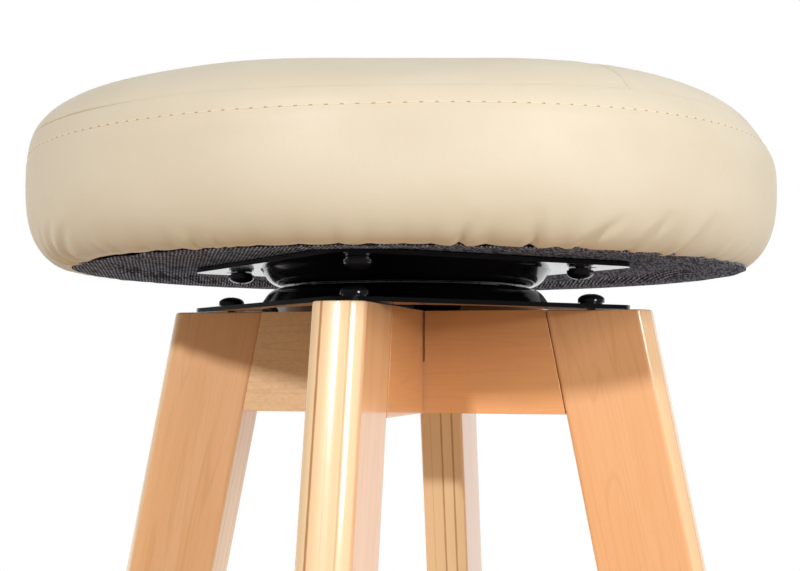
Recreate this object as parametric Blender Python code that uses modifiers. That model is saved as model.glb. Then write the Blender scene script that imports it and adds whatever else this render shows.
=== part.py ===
"""Swivel bar stool: a round upholstered seat that turns on a base of four splayed laminated legs.

Units are metres and +Z is up. The origin is on the floor under the swivel axis. The legs point along
-Y (front), +X (right), +Y (back) and -X (left).
"""

import math

import bmesh
import bpy
from mathutils import Matrix
from mathutils import Vector

# Fits
FIT_GAP = 0.0003  # between pieces that touch
HOLE_CLEARANCE = 0.0003  # round dowels, pins and screw shanks
BLIND_ROOM = 0.0008  # past the tip of a dowel, pin or screw

# Base of legs and rails
BASE_HEIGHT = 0.625  # floor to leg tops
LEG_WIDTH = 0.050
LEG_THICKNESS = 0.025
LEG_SPLAY = math.radians(11.0)
LEG_OVERHANG = 0.010  # leg top outside the corner of the swivel plate
LEG_OUTER_ROUND = 0.0064
LEG_INNER_ROUND = 0.0034
LEG_ROUND_SEGMENTS = 3
RAIL_HEIGHT = 0.052
LAP_SLACK = 0.0009  # the halving cut is this much wider than the board that it takes
DOWEL_RADIUS = 0.004
DOWEL_LENGTH = 0.030
DOWEL_WALL = 0.005  # wood left beside a dowel

# Footrest ring and its screws
FOOTREST_HEIGHT = 0.250  # floor to the middle of the ring
FOOTREST_THICKNESS = 0.020
FOOTREST_DEPTH = 0.032
FOOTREST_EASE = 0.003
FOOTREST_HOUSING = 0.007  # the ring is let this far into the legs
FOOTREST_SCREW_LENGTH = 0.040
FOOTREST_SCREW_RADIUS = 0.002
FOOTREST_HEAD_RADIUS = 0.004
FOOTREST_HEAD_SINK = 0.0006  # head below the inner face of the ring

# Glides under the legs
GLIDE_RADIUS = 0.0105
GLIDE_HEIGHT = 0.005
GLIDE_ROUND = 0.0015
GLIDE_PIN_RADIUS = 0.0015
GLIDE_PIN_LENGTH = 0.014

# Swivel plates, both pressed alike
PLATE_SHEET = 0.0022
PLATE_HEIGHT = 0.0113
PLATE_GAP = 0.0010  # between the two dishes
DISH_RADIUS = 0.0685
DISH_FLARE = 0.0065
DISH_ROUND = 0.0014
FLANGE_MARGIN = 0.010  # flange at the middle of a side, outside the dish
PLATE_CORNER_ROUND = 0.010
SLOT_WIDTH = 0.006
SLOT_CUT_DEPTH = 0.010  # depth of the tool that cuts a slot
LEG_SCREW_INSET = 0.0195  # from the corner of the plate
SEAT_SCREW_INSET = 0.0250

# Ball race, retainer and rivet
RACE_INSET = 0.0165  # ball circle inside the dish
BALL_COUNT = 12
BALL_RADIUS = 0.003
BALL_CLEARANCE = 0.0005
RETAINER_SHEET = 0.0004
RETAINER_MARGIN = 0.0025
RIVET_RADIUS = 0.012
RIVET_WALL = 0.002
RIVET_FLANGE = 0.005
RIVET_FLANGE_SHEET = 0.0015

# Pan-head screws of the plates
SCREW_HEAD_RADIUS = 0.0068
SCREW_HEAD_HEIGHT = 0.0046
SCREW_HEAD_RIM = 0.0014  # upright side of the head below its dome
SCREW_DOME_ANGLES = (60.0, 30.0, 0.0)
SCREW_SHANK_RADIUS = 0.0022
LEG_SCREW_LENGTH = 0.0205
SEAT_SCREW_LENGTH = 0.0145

# Seat
SEAT_RADIUS = 0.190
SEAT_SHOULDER = 0.0432  # shoulder of the crown above the widest level
SEAT_DOME = 0.007  # middle of the crown above its shoulder
SEAT_WIDEST = 0.0377  # widest level above the underside of the board
CROWN_FLATNESS = 6.1
SHOULDER_FULLNESS = 2.62
DOME_SOFTNESS = 3
SIDE_FLATNESS = 2.88
SIDE_FULLNESS = 1.68
ROLL_INSET = 0.020  # folded lower edge inside the widest circle
ROLL_DROP = 0.0016  # folded lower edge below the dust cover
ROLL_LIP = 0.0022  # width of the fold before it turns in under the board
ROLL_LIP_RISE = 0.0005  # the fold's inner side above its lowest point
ROLL_TURN = 0.0033  # width of the fold where it reaches the hem
SEAM_INSET = 0.0040  # seam of panels and band inside the widest circle
SEAM_DIP = 0.003  # radial seams below the crown
SEAM_SOFTNESS = 0.014
SEAM_FADE = 6  # the higher, the nearer to the shoulder the radial seams keep their depth
LEATHER = 0.002
FOAM_GAP = 0.0006
BOARD_INSET = 0.018
BOARD_THICKNESS = 0.015
BOARD_CHAMFER = 0.001
HEM_WIDTH = 0.022  # leather folded under the board
DUST_COVER_SHEET = 0.0008

# Facets
RING_STEPS = 40
SMALL_STEPS = 12
RETAINER_HOLE_SIDES = 8
RIVET_STEPS = 18
PLATE_STEPS = 36
PANEL_RINGS = 8
SHOULDER_SHARES = (0.0, 0.75, 1.0)  # rings of the band from the seam out to the widest circle
GROOVE_SHARES = (1.0, 0.5, 0.0, -0.5, -1.0)  # points across the ball groove, from lip to lip
SKIRT_SHARES = (0.3, 0.55, 0.75)  # rings of the lower side that the foam fills
FOLD_SHARES = (0.91, 1.0)  # rings below the foam

# Values that follow from the dimensions above
SEAM_GAP = FIT_GAP
FOOTREST_LEVELS = (FOOTREST_HEIGHT - FOOTREST_DEPTH / 2, FOOTREST_HEIGHT + FOOTREST_DEPTH / 2)
DISH_FOOT = DISH_RADIUS + DISH_FLARE
PLATE_HALF = DISH_FOOT + FLANGE_MARGIN
PLATE_TIP = PLATE_HALF * math.sqrt(2) - PLATE_CORNER_ROUND * (math.sqrt(2) - 1)
LEG_SCREW_CIRCLE = PLATE_TIP - LEG_SCREW_INSET
SEAT_SCREW_CIRCLE = PLATE_TIP - SEAT_SCREW_INSET
RACE_RADIUS = DISH_RADIUS - RACE_INSET
PLATE_LEVEL = BASE_HEIGHT + FIT_GAP
RACE_LEVEL = PLATE_LEVEL + PLATE_HEIGHT + PLATE_GAP / 2
SWIVEL_TOP = PLATE_LEVEL + 2 * PLATE_HEIGHT + PLATE_GAP
LEG_OUTER_TOP = PLATE_TIP + LEG_OVERHANG
LEG_SCREW_DEPTH = LEG_SCREW_LENGTH - PLATE_SHEET - 2 * FIT_GAP
UPPER_DOWEL_DROP = LEG_SCREW_DEPTH + BLIND_ROOM + DOWEL_WALL + DOWEL_RADIUS
LOWER_DOWEL_DROP = RAIL_HEIGHT - DOWEL_WALL - DOWEL_RADIUS
DUST_COVER_LEVEL = SWIVEL_TOP + FIT_GAP
BOARD_LEVEL = DUST_COVER_LEVEL + DUST_COVER_SHEET + FIT_GAP
BOARD_RADIUS = SEAT_RADIUS - BOARD_INSET
HEM_LEVEL = BOARD_LEVEL - FIT_GAP - LEATHER
RIM_COVER_LEVEL = HEM_LEVEL - FIT_GAP - DUST_COVER_SHEET
ROLL_LEVEL = RIM_COVER_LEVEL - ROLL_DROP
ROLL_RADIUS = SEAT_RADIUS - ROLL_INSET
HEM_RADIUS = BOARD_RADIUS - HEM_WIDTH
WIDEST_LEVEL = BOARD_LEVEL + SEAT_WIDEST
SEAM_RADIUS = SEAT_RADIUS - SEAM_INSET
LEG_SIDES = {"right": 0.0, "back": 90.0, "left": 180.0, "front": 270.0}


def leg_outer(level):
    """Radius of a leg's outer edge at a level."""
    return LEG_OUTER_TOP + math.tan(LEG_SPLAY) * (BASE_HEIGHT - level)


def leg_inner(level):
    """Radius of a leg's inner edge at a level."""
    return leg_outer(level) - LEG_WIDTH / math.cos(LEG_SPLAY)


FOOTREST_RADIUS = leg_inner(FOOTREST_HEIGHT) + FOOTREST_HOUSING
FOOTREST_BORE = FOOTREST_RADIUS - FOOTREST_THICKNESS


# Scene, collections and finishes
for old in list(bpy.data.objects):
    bpy.data.objects.remove(old)


def new_collection(name):
    collection = bpy.data.collections.new(name)
    bpy.context.scene.collection.children.link(collection)
    return collection


PARTS = new_collection("swivel_bar_stool")
CUTTERS = new_collection("cutters")


def new_finish(name, colour, roughness, metallic=0.0):
    finish = bpy.data.materials.new(name)
    finish.use_nodes = True
    shader = finish.node_tree.nodes["Principled BSDF"]
    shader.inputs["Base Color"].default_value = (*colour, 1.0)
    shader.inputs["Roughness"].default_value = roughness
    shader.inputs["Metallic"].default_value = metallic
    finish.diffuse_color = (*colour, 1.0)
    return finish


LACQUERED_WOOD = new_finish("lacquered_wood", (0.82, 0.50, 0.26), 0.35)
BARE_WOOD = new_finish("bare_wood", (0.70, 0.52, 0.32), 0.8)
BLACK_ENAMEL = new_finish("black_enamel", (0.008, 0.008, 0.010), 0.2)
BLACK_ZINC = new_finish("black_zinc", (0.03, 0.03, 0.035), 0.35, 1.0)
BRIGHT_STEEL = new_finish("bright_steel", (0.62, 0.62, 0.63), 0.25, 1.0)
CREAM_LEATHER = new_finish("cream_leather", (0.80, 0.72, 0.55), 0.5)
PALE_FOAM = new_finish("pale_foam", (0.85, 0.80, 0.60), 0.95)
DARK_CLOTH = new_finish("dark_cloth", (0.030, 0.030, 0.036), 0.9)
WHITE_NYLON = new_finish("white_nylon", (0.75, 0.74, 0.70), 0.5)


def new_pivot(name, level):
    """Empty on the swivel axis that a group of pieces hangs on."""
    pivot = bpy.data.objects.new(name, None)
    pivot.location.z = level
    PARTS.objects.link(pivot)
    return pivot


BASE_PIVOT = new_pivot("base_origin", 0.0)
RACE_PIVOT = new_pivot("bearing_pivot", RACE_LEVEL)
SEAT_PIVOT = new_pivot("seat_pivot", SWIVEL_TOP)


# Modelling helpers
def place(name, mesh, finish, pivot, location=(0.0, 0.0, 0.0), rotation=(0.0, 0.0, 0.0)):
    """Object of a mesh at a place in the stool's frame, carried by a pivot."""
    piece = bpy.data.objects.new(name, mesh)
    mesh.materials.clear()
    mesh.materials.append(finish)
    mesh.shade_smooth()
    mesh.set_sharp_from_angle(angle=math.radians(30.0))
    PARTS.objects.link(piece)
    piece.parent = pivot
    piece.location = Vector(location) - pivot.location
    piece.rotation_euler = rotation
    return piece


def mesh_of(name, shape):
    mesh = bpy.data.meshes.new(name)
    shape.to_mesh(mesh)
    shape.free()
    return mesh


def baked_mesh(piece):
    """The piece's mesh with its modifiers applied. The piece itself is removed."""
    bpy.context.view_layer.update()
    graph = bpy.context.evaluated_depsgraph_get()
    mesh = bpy.data.meshes.new_from_object(piece.evaluated_get(graph))
    bpy.data.objects.remove(piece)
    return mesh


def profile_mesh(name, points, closed):
    """Wire profile in the XZ plane, from (radius, level) pairs that run down the outer side."""
    edges = [(i, i + 1) for i in range(len(points) - 1)]
    if closed:
        edges.append((len(points) - 1, 0))
    mesh = bpy.data.meshes.new(name)
    mesh.from_pydata([(radius, 0.0, level) for radius, level in points], edges, [])
    return mesh


def turn(piece, steps):
    screw = piece.modifiers.new("turn", "SCREW")
    screw.axis = "Z"
    screw.angle = 2 * math.pi
    screw.steps = steps
    screw.render_steps = steps
    screw.use_merge_vertices = True
    screw.merge_threshold = 0.00001
    screw.use_smooth_shade = True


def turned(name, points, finish, pivot, steps, closed=False, location=(0.0,) * 3, rotation=(0.0,) * 3):
    piece = place(name, profile_mesh(name, points, closed), finish, pivot, location, rotation)
    turn(piece, steps)
    return piece


def eased_section(inner, outer, bottom, top, ease):
    """Rectangle with eased corners, clockwise from the top of its outer side."""
    return [
        (outer - ease, top),
        (outer, top - ease),
        (outer, bottom + ease),
        (outer - ease, bottom),
        (inner + ease, bottom),
        (inner, bottom + ease),
        (inner, top - ease),
        (inner + ease, top),
    ]


def new_cutter(name, shape):
    cutter = bpy.data.objects.new(name, mesh_of(name, shape))
    cutter.hide_render = True
    cutter.display_type = "WIRE"
    CUTTERS.objects.link(cutter)
    return cutter


def cut(piece, cutter):
    boolean = piece.modifiers.new(cutter.name, "BOOLEAN")
    boolean.operation = "DIFFERENCE"
    boolean.solver = "EXACT"
    boolean.object = cutter


def add_rod(shape, radius, start, end, end_radius=None, sides=SMALL_STEPS):
    """Round rod, or a cone where the end has its own radius, between two points."""
    axis = Vector(end) - Vector(start)
    turned_to_axis = axis.to_track_quat("Z", "Y").to_matrix().to_4x4()
    middle = Matrix.Translation((Vector(start) + Vector(end)) / 2)
    bmesh.ops.create_cone(
        shape,
        cap_ends=True,
        segments=sides,
        radius1=radius,
        radius2=radius if end_radius is None else end_radius,
        depth=axis.length,
        matrix=middle @ turned_to_axis,
    )


def polar(radius, angle):
    return (radius * math.cos(angle), radius * math.sin(angle))


def quarter_turn(side):
    return math.radians(LEG_SIDES[side])


def on_side(side, radius, level):
    """Point at a radius along a leg's direction."""
    return (*polar(radius, quarter_turn(side)), level)


# Legs: straight laminated boards, cut level at both ends
def dowel_levels():
    return (BASE_HEIGHT - UPPER_DOWEL_DROP, BASE_HEIGHT - LOWER_DOWEL_DROP)


def footrest_screw_start():
    return FOOTREST_BORE + FOOTREST_HEAD_SINK


def leg_board():
    """Board of the right leg, with its long edges rounded."""
    shape = bmesh.new()
    bmesh.ops.create_cube(shape, size=1.0)
    for vertex in shape.verts:
        outside, above = vertex.co.x > 0, vertex.co.z > 0
        level = BASE_HEIGHT if above else GLIDE_HEIGHT + FIT_GAP
        vertex.co.x = leg_outer(level) if outside else leg_inner(level)
        vertex.co.y = math.copysign(LEG_THICKNESS / 2, vertex.co.y)
        vertex.co.z = level
    long_edges = [e for e in shape.edges if abs(e.verts[0].co.z - e.verts[1].co.z) > LEG_WIDTH]
    middle = (leg_outer(BASE_HEIGHT / 2) + leg_inner(BASE_HEIGHT / 2)) / 2
    outer = [e for e in long_edges if (e.verts[0].co.x + e.verts[1].co.x) / 2 > middle]
    inner = [e for e in long_edges if e not in outer]
    for edges, radius in ((outer, LEG_OUTER_ROUND), (inner, LEG_INNER_ROUND)):
        bmesh.ops.bevel(
            shape, geom=edges, offset=radius, segments=LEG_ROUND_SEGMENTS, profile=0.5, affect="EDGES"
        )
    bmesh.ops.recalc_face_normals(shape, faces=shape.faces)
    return mesh_of("leg", shape)


def leg_housing_cutter():
    """Round slice that lets the footrest ring into the leg."""
    shape = bmesh.new()
    low, high = FOOTREST_LEVELS
    add_rod(
        shape,
        FOOTREST_RADIUS + FIT_GAP,
        (0.0, 0.0, low - FIT_GAP),
        (0.0, 0.0, high + FIT_GAP),
        sides=RING_STEPS,
    )
    return new_cutter("leg_housing", shape)


def foot_radius():
    """Middle of a leg's lower end."""
    return (leg_outer(GLIDE_HEIGHT) + leg_inner(GLIDE_HEIGHT)) / 2


def leg_hole_cutter():
    """Holes for the dowels, the plate screw, the footrest screw and the glide pin."""
    shape = bmesh.new()
    for level in dowel_levels():
        seam = leg_inner(level)
        add_rod(
            shape,
            DOWEL_RADIUS + HOLE_CLEARANCE,
            (seam - DOWEL_LENGTH / 2, 0.0, level),
            (seam + DOWEL_LENGTH / 2 + BLIND_ROOM, 0.0, level),
        )
    add_rod(
        shape,
        SCREW_SHANK_RADIUS + HOLE_CLEARANCE,
        (LEG_SCREW_CIRCLE, 0.0, BASE_HEIGHT + PLATE_SHEET),
        (LEG_SCREW_CIRCLE, 0.0, BASE_HEIGHT - LEG_SCREW_DEPTH - BLIND_ROOM),
    )
    add_rod(
        shape,
        FOOTREST_SCREW_RADIUS + HOLE_CLEARANCE,
        (FOOTREST_BORE, 0.0, FOOTREST_HEIGHT),
        (footrest_screw_start() + FOOTREST_SCREW_LENGTH + BLIND_ROOM, 0.0, FOOTREST_HEIGHT),
    )
    foot = foot_radius()
    add_rod(
        shape,
        GLIDE_PIN_RADIUS + HOLE_CLEARANCE,
        (foot, 0.0, 0.0),
        (foot, 0.0, GLIDE_HEIGHT + GLIDE_PIN_LENGTH + BLIND_ROOM),
    )
    return new_cutter("leg_holes", shape)


def build_legs():
    blank = place("leg_blank", leg_board(), LACQUERED_WOOD, BASE_PIVOT)
    cut(blank, leg_housing_cutter())
    cut(blank, leg_hole_cutter())
    board = baked_mesh(blank)
    for side in LEG_SIDES:
        place("leg_" + side, board, LACQUERED_WOOD, BASE_PIVOT, rotation=(0.0, 0.0, quarter_turn(side)))


# Rails: two boards between opposite legs, halved over each other at the middle
def rail_board():
    shape = bmesh.new()
    bmesh.ops.create_cube(shape, size=1.0)
    for vertex in shape.verts:
        level = BASE_HEIGHT if vertex.co.z > 0 else BASE_HEIGHT - RAIL_HEIGHT
        reach = leg_inner(level) - FIT_GAP
        vertex.co.x = math.copysign(reach, vertex.co.x)
        vertex.co.y = math.copysign(LEG_THICKNESS / 2, vertex.co.y)
        vertex.co.z = level
    return mesh_of("rail", shape)


def rail_cutter(name, low, high):
    """Halving cut between two levels, and the dowel holes at both ends."""
    shape = bmesh.new()
    slot = Matrix.Translation((0.0, 0.0, (low + high) / 2))
    size = (LEG_THICKNESS + LAP_SLACK, 2 * LEG_THICKNESS, high - low)
    bmesh.ops.create_cube(shape, size=1.0, matrix=slot @ Matrix.Diagonal((*size, 1.0)))
    for level in dowel_levels():
        seam = leg_inner(level)
        for end in (-1, 1):
            add_rod(
                shape,
                DOWEL_RADIUS + HOLE_CLEARANCE,
                (end * (seam - DOWEL_LENGTH / 2 - BLIND_ROOM), 0.0, level),
                (end * (seam + DOWEL_LENGTH / 2), 0.0, level),
            )
    return new_cutter(name, shape)


def build_rails():
    middle = BASE_HEIGHT - RAIL_HEIGHT / 2
    upper = (middle - FIT_GAP / 2, BASE_HEIGHT + LEG_THICKNESS)
    lower = (BASE_HEIGHT - RAIL_HEIGHT - LEG_THICKNESS, middle + FIT_GAP / 2)
    for name, levels, side in (("rail_left_right", upper, "right"), ("rail_front_back", lower, "back")):
        heading = (0.0, 0.0, quarter_turn(side))
        rail = place(name, rail_board(), LACQUERED_WOOD, BASE_PIVOT, rotation=heading)
        cutter = rail_cutter(name + "_cuts", *levels)
        cutter.rotation_euler = heading
        cut(rail, cutter)


def build_dowels():
    half = DOWEL_LENGTH / 2
    profile = [
        (0.0, half),
        (DOWEL_RADIUS, half),
        (DOWEL_RADIUS, -half),
        (0.0, -half),
    ]
    for side in LEG_SIDES:
        for row, level in zip(("upper", "lower"), dowel_levels()):
            turned(
                f"dowel_{side}_{row}",
                profile,
                BARE_WOOD,
                BASE_PIVOT,
                SMALL_STEPS,
                location=on_side(side, leg_inner(level), level),
                rotation=(0.0, math.pi / 2, quarter_turn(side)),
            )


# Footrest: a bent ring let into the inner edges of the legs and screwed from inside
def build_footrest():
    section = eased_section(FOOTREST_BORE, FOOTREST_RADIUS, *FOOTREST_LEVELS, FOOTREST_EASE)
    ring = turned("footrest_ring", section, LACQUERED_WOOD, BASE_PIVOT, RING_STEPS, closed=True)
    shape = bmesh.new()
    head_room = FOOTREST_HEAD_RADIUS + HOLE_CLEARANCE
    shank_room = FOOTREST_SCREW_RADIUS + HOLE_CLEARANCE
    start = footrest_screw_start()
    throat = start + FOOTREST_HEAD_RADIUS - FOOTREST_SCREW_RADIUS
    for side in LEG_SIDES:
        shank = bmesh.new()
        add_rod(
            shank,
            shank_room,
            (throat, 0.0, FOOTREST_HEIGHT),
            (FOOTREST_RADIUS + FOOTREST_THICKNESS, 0.0, FOOTREST_HEIGHT),
        )
        wide_end = [v for v in shank.verts if v.co.x < (throat + FOOTREST_RADIUS) / 2]
        mouth = [f for f in shank.faces if all(v in wide_end for v in f.verts)]
        for reach, radius in ((start, head_room), (FOOTREST_BORE - FOOTREST_THICKNESS, head_room)):
            grown = bmesh.ops.extrude_discrete_faces(shank, faces=mouth)["faces"]
            mouth = grown
            for vertex in mouth[0].verts:
                vertex.co.x = reach
                off_axis = Vector((0.0, vertex.co.y, vertex.co.z - FOOTREST_HEIGHT)).normalized()
                vertex.co.y = off_axis.y * radius
                vertex.co.z = FOOTREST_HEIGHT + off_axis.z * radius
        bmesh.ops.rotate(shank, verts=shank.verts, matrix=Matrix.Rotation(quarter_turn(side), 3, "Z"))
        hole = mesh_of("footrest_hole", shank)
        shape.from_mesh(hole)
        bpy.data.meshes.remove(hole)
    bmesh.ops.recalc_face_normals(shape, faces=shape.faces)
    cut(ring, new_cutter("footrest_holes", shape))

    profile = [
        (0.0, 0.0),
        (FOOTREST_HEAD_RADIUS, 0.0),
        (FOOTREST_SCREW_RADIUS, FOOTREST_SCREW_RADIUS - FOOTREST_HEAD_RADIUS),
        (FOOTREST_SCREW_RADIUS, 2 * FOOTREST_SCREW_RADIUS - FOOTREST_SCREW_LENGTH),
        (0.0, -FOOTREST_SCREW_LENGTH),
    ]
    for side in LEG_SIDES:
        turned(
            f"footrest_screw_{side}",
            profile,
            BRIGHT_STEEL,
            BASE_PIVOT,
            SMALL_STEPS,
            location=on_side(side, start, FOOTREST_HEIGHT),
            rotation=(0.0, -math.pi / 2, quarter_turn(side)),
        )


# Glides: nylon discs on nails
def build_glides():
    profile = [
        (0.0, GLIDE_HEIGHT + GLIDE_PIN_LENGTH),
        (GLIDE_PIN_RADIUS, GLIDE_HEIGHT + GLIDE_PIN_LENGTH - GLIDE_PIN_RADIUS),
        (GLIDE_PIN_RADIUS, GLIDE_HEIGHT),
        (GLIDE_RADIUS, GLIDE_HEIGHT),
        (GLIDE_RADIUS, GLIDE_ROUND),
        (GLIDE_RADIUS - GLIDE_ROUND, 0.0),
        (0.0, 0.0),
    ]
    for side in LEG_SIDES:
        turned(
            f"glide_{side}",
            profile,
            WHITE_NYLON,
            BASE_PIVOT,
            SMALL_STEPS,
            location=on_side(side, foot_radius(), 0.0),
        )


# Swivel plates: a square flange with its corners over the legs, and a round dish with a ball groove
def plate_outline(angle):
    """Radius of the flange's rounded square, whose corners point along X and Y."""
    from_side = (angle - math.pi / 4) % (math.pi / 2)
    from_side = min(from_side, math.pi / 2 - from_side)
    straight = PLATE_HALF - PLATE_CORNER_ROUND
    if math.tan(from_side) * PLATE_HALF <= straight:
        return PLATE_HALF / math.cos(from_side)
    centre = straight * math.sqrt(2)
    from_corner = math.pi / 4 - from_side
    across = centre * math.sin(from_corner)
    return centre * math.cos(from_corner) + math.sqrt(PLATE_CORNER_ROUND**2 - across**2)


def plate_angles():
    """Even steps round the plate, with two more where each corner's arc meets the sides."""
    arc_end = math.pi / 4 - math.atan2(PLATE_HALF - PLATE_CORNER_ROUND, PLATE_HALF)
    angles = {round(2 * math.pi * i / PLATE_STEPS, 6) for i in range(PLATE_STEPS)}
    for corner in range(4):
        for turn_by in (-arc_end, arc_end):
            angles.add(round((corner * math.pi / 2 + turn_by) % (2 * math.pi), 6))
    return sorted(angles)


def groove_points():
    """Upper side of the ball groove, from its outer lip to its inner lip."""
    radius = BALL_RADIUS + BALL_CLEARANCE
    centre = PLATE_HEIGHT + PLATE_GAP / 2
    lip = math.acos(PLATE_GAP / 2 / radius)
    points = []
    for share in GROOVE_SHARES:
        across = radius * math.sin(share * lip)
        points.append((RACE_RADIUS + across, centre - radius * math.cos(share * lip)))
    return points


def plate_sheet():
    """Open upper surface of a pressed plate that lies flat on level 0."""
    rings = [
        (DISH_FOOT + DISH_ROUND, PLATE_SHEET),
        (DISH_FOOT - DISH_ROUND / 2, PLATE_SHEET + DISH_ROUND / 2),
        (DISH_RADIUS + DISH_ROUND / 2, PLATE_HEIGHT - DISH_ROUND),
        (DISH_RADIUS - DISH_ROUND, PLATE_HEIGHT),
        *groove_points(),
        (RIVET_RADIUS + HOLE_CLEARANCE, PLATE_HEIGHT),
    ]
    shape = bmesh.new()
    angles = plate_angles()
    loops = [[shape.verts.new((*polar(plate_outline(a), a), PLATE_SHEET)) for a in angles]]
    for radius, level in rings:
        loops.append([shape.verts.new((*polar(radius, a), level)) for a in angles])
    for outer, inner in zip(loops, loops[1:]):
        for i in range(len(angles)):
            j = (i + 1) % len(angles)
            shape.faces.new((outer[i], outer[j], inner[j], inner[i]))
    return mesh_of("swivel_plate", shape)


def slot_cutter():
    """Radial slots at the four corners, long enough for both screw circles."""
    shape = bmesh.new()
    middle = (LEG_SCREW_CIRCLE + SEAT_SCREW_CIRCLE) / 2
    stretch = abs(LEG_SCREW_CIRCLE - SEAT_SCREW_CIRCLE) / 2
    half_facet = Matrix.Rotation(math.pi / SMALL_STEPS, 4, "Z")
    for side in LEG_SIDES:
        made = bmesh.ops.create_cone(
            shape,
            cap_ends=True,
            segments=SMALL_STEPS,
            radius1=SLOT_WIDTH / 2,
            radius2=SLOT_WIDTH / 2,
            depth=SLOT_CUT_DEPTH,
            matrix=half_facet,
        )["verts"]
        for vertex in made:
            vertex.co.x += middle + math.copysign(stretch, vertex.co.x)
        bmesh.ops.rotate(shape, verts=made, matrix=Matrix.Rotation(quarter_turn(side), 3, "Z"))
    return new_cutter("plate_slots", shape)


def build_plates():
    blank = place("plate_blank", plate_sheet(), BLACK_ENAMEL, BASE_PIVOT)
    thickness = blank.modifiers.new("sheet", "SOLIDIFY")
    thickness.thickness = PLATE_SHEET
    thickness.offset = -1.0
    cut(blank, slot_cutter())
    pressed = baked_mesh(blank)
    place("lower_swivel_plate", pressed, BLACK_ENAMEL, BASE_PIVOT, (0.0, 0.0, PLATE_LEVEL))
    place(
        "upper_swivel_plate",
        pressed,
        BLACK_ENAMEL,
        SEAT_PIVOT,
        (0.0, 0.0, SWIVEL_TOP),
        (math.pi, 0.0, 0.0),
    )


# Ball race between the dishes
def ball_angle(index):
    return 2 * math.pi * (index + 0.5) / BALL_COUNT


def build_bearing():
    shape = bmesh.new()
    bmesh.ops.create_icosphere(shape, subdivisions=2, radius=BALL_RADIUS)
    ball = mesh_of("ball", shape)
    for index in range(BALL_COUNT):
        centre = (*polar(RACE_RADIUS, ball_angle(index)), RACE_LEVEL)
        place(f"bearing_ball_{index + 1:02d}", ball, BRIGHT_STEEL, RACE_PIVOT, centre)

    half_width = BALL_RADIUS + BALL_CLEARANCE + RETAINER_MARGIN
    section = [
        (RACE_RADIUS + half_width, RETAINER_SHEET / 2),
        (RACE_RADIUS + half_width, -RETAINER_SHEET / 2),
        (RACE_RADIUS - half_width, -RETAINER_SHEET / 2),
        (RACE_RADIUS - half_width, RETAINER_SHEET / 2),
    ]
    retainer = turned(
        "ball_retainer",
        section,
        BRIGHT_STEEL,
        RACE_PIVOT,
        RING_STEPS,
        closed=True,
        location=(0.0, 0.0, RACE_LEVEL),
    )
    shape = bmesh.new()
    for index in range(BALL_COUNT):
        x, y = polar(RACE_RADIUS, ball_angle(index))
        add_rod(
            shape,
            BALL_RADIUS + BALL_CLEARANCE,
            (x, y, RACE_LEVEL - BALL_RADIUS),
            (x, y, RACE_LEVEL + BALL_RADIUS),
            sides=RETAINER_HOLE_SIDES,
        )
    cut(retainer, new_cutter("retainer_holes", shape))


# Hollow rivet that holds the two plates together and leaves the upper one free to turn
def build_rivet():
    low = PLATE_LEVEL + PLATE_HEIGHT - PLATE_SHEET - FIT_GAP
    high = SWIVEL_TOP - PLATE_HEIGHT + PLATE_SHEET + FIT_GAP
    head = RIVET_RADIUS + RIVET_FLANGE
    bore = RIVET_RADIUS - RIVET_WALL
    section = [
        (head, high + RIVET_FLANGE_SHEET),
        (head, high),
        (RIVET_RADIUS, high),
        (RIVET_RADIUS, low),
        (head, low),
        (head, low - RIVET_FLANGE_SHEET),
        (bore, low - RIVET_FLANGE_SHEET),
        (bore, high + RIVET_FLANGE_SHEET),
    ]
    turned("swivel_rivet", section, BLACK_ZINC, BASE_PIVOT, RIVET_STEPS, closed=True)


# Pan-head screws through the corners of the plates
def pan_screw_profile(length):
    head, height, shank = SCREW_HEAD_RADIUS, SCREW_HEAD_HEIGHT, SCREW_SHANK_RADIUS
    rim = SCREW_HEAD_RIM
    dome = [math.radians(a) for a in SCREW_DOME_ANGLES]
    crown = [(head * math.cos(a), rim + (height - rim) * math.sin(a)) for a in dome]
    return [(0.0, height), *crown, (head, 0.0), (shank, 0.0), (shank, 2 * shank - length), (0.0, -length)]


def build_plate_screws():
    for side in LEG_SIDES:
        turned(
            f"leg_screw_{side}",
            pan_screw_profile(LEG_SCREW_LENGTH),
            BLACK_ZINC,
            BASE_PIVOT,
            SMALL_STEPS,
            location=on_side(side, LEG_SCREW_CIRCLE, PLATE_LEVEL + PLATE_SHEET + FIT_GAP),
        )
        turned(
            f"seat_screw_{side}",
            pan_screw_profile(SEAT_SCREW_LENGTH),
            BLACK_ZINC,
            SEAT_PIVOT,
            SMALL_STEPS,
            location=on_side(side, SEAT_SCREW_CIRCLE, SWIVEL_TOP - PLATE_SHEET - FIT_GAP),
            rotation=(math.pi, 0.0, 0.0),
        )


def seat_screw_cutter(name, top):
    """Holes for the seat screws, up to a level."""
    shape = bmesh.new()
    for side in LEG_SIDES:
        add_rod(
            shape,
            SCREW_SHANK_RADIUS + HOLE_CLEARANCE,
            on_side(side, SEAT_SCREW_CIRCLE, SWIVEL_TOP - PLATE_SHEET),
            on_side(side, SEAT_SCREW_CIRCLE, top),
        )
    return new_cutter(name, shape)


# Seat outline
def crown_point(radius):
    """Outside of the cushion from the middle of its crown out to its widest circle."""
    share = min(radius / SEAT_RADIUS, 1.0)
    shoulder = SEAT_SHOULDER * (1 - share**CROWN_FLATNESS) ** (1 / SHOULDER_FULLNESS)
    dome = SEAT_DOME * (1 - share**2) ** DOME_SOFTNESS
    return (radius, WIDEST_LEVEL + shoulder + dome)


def side_point(share):
    """Outside of the cushion from its widest circle (0) down to its folded lower edge (1)."""
    bulge = (1 - share**SIDE_FLATNESS) ** (1 / SIDE_FULLNESS)
    return (ROLL_RADIUS + ROLL_INSET * bulge, WIDEST_LEVEL - (WIDEST_LEVEL - ROLL_LEVEL) * share)


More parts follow.
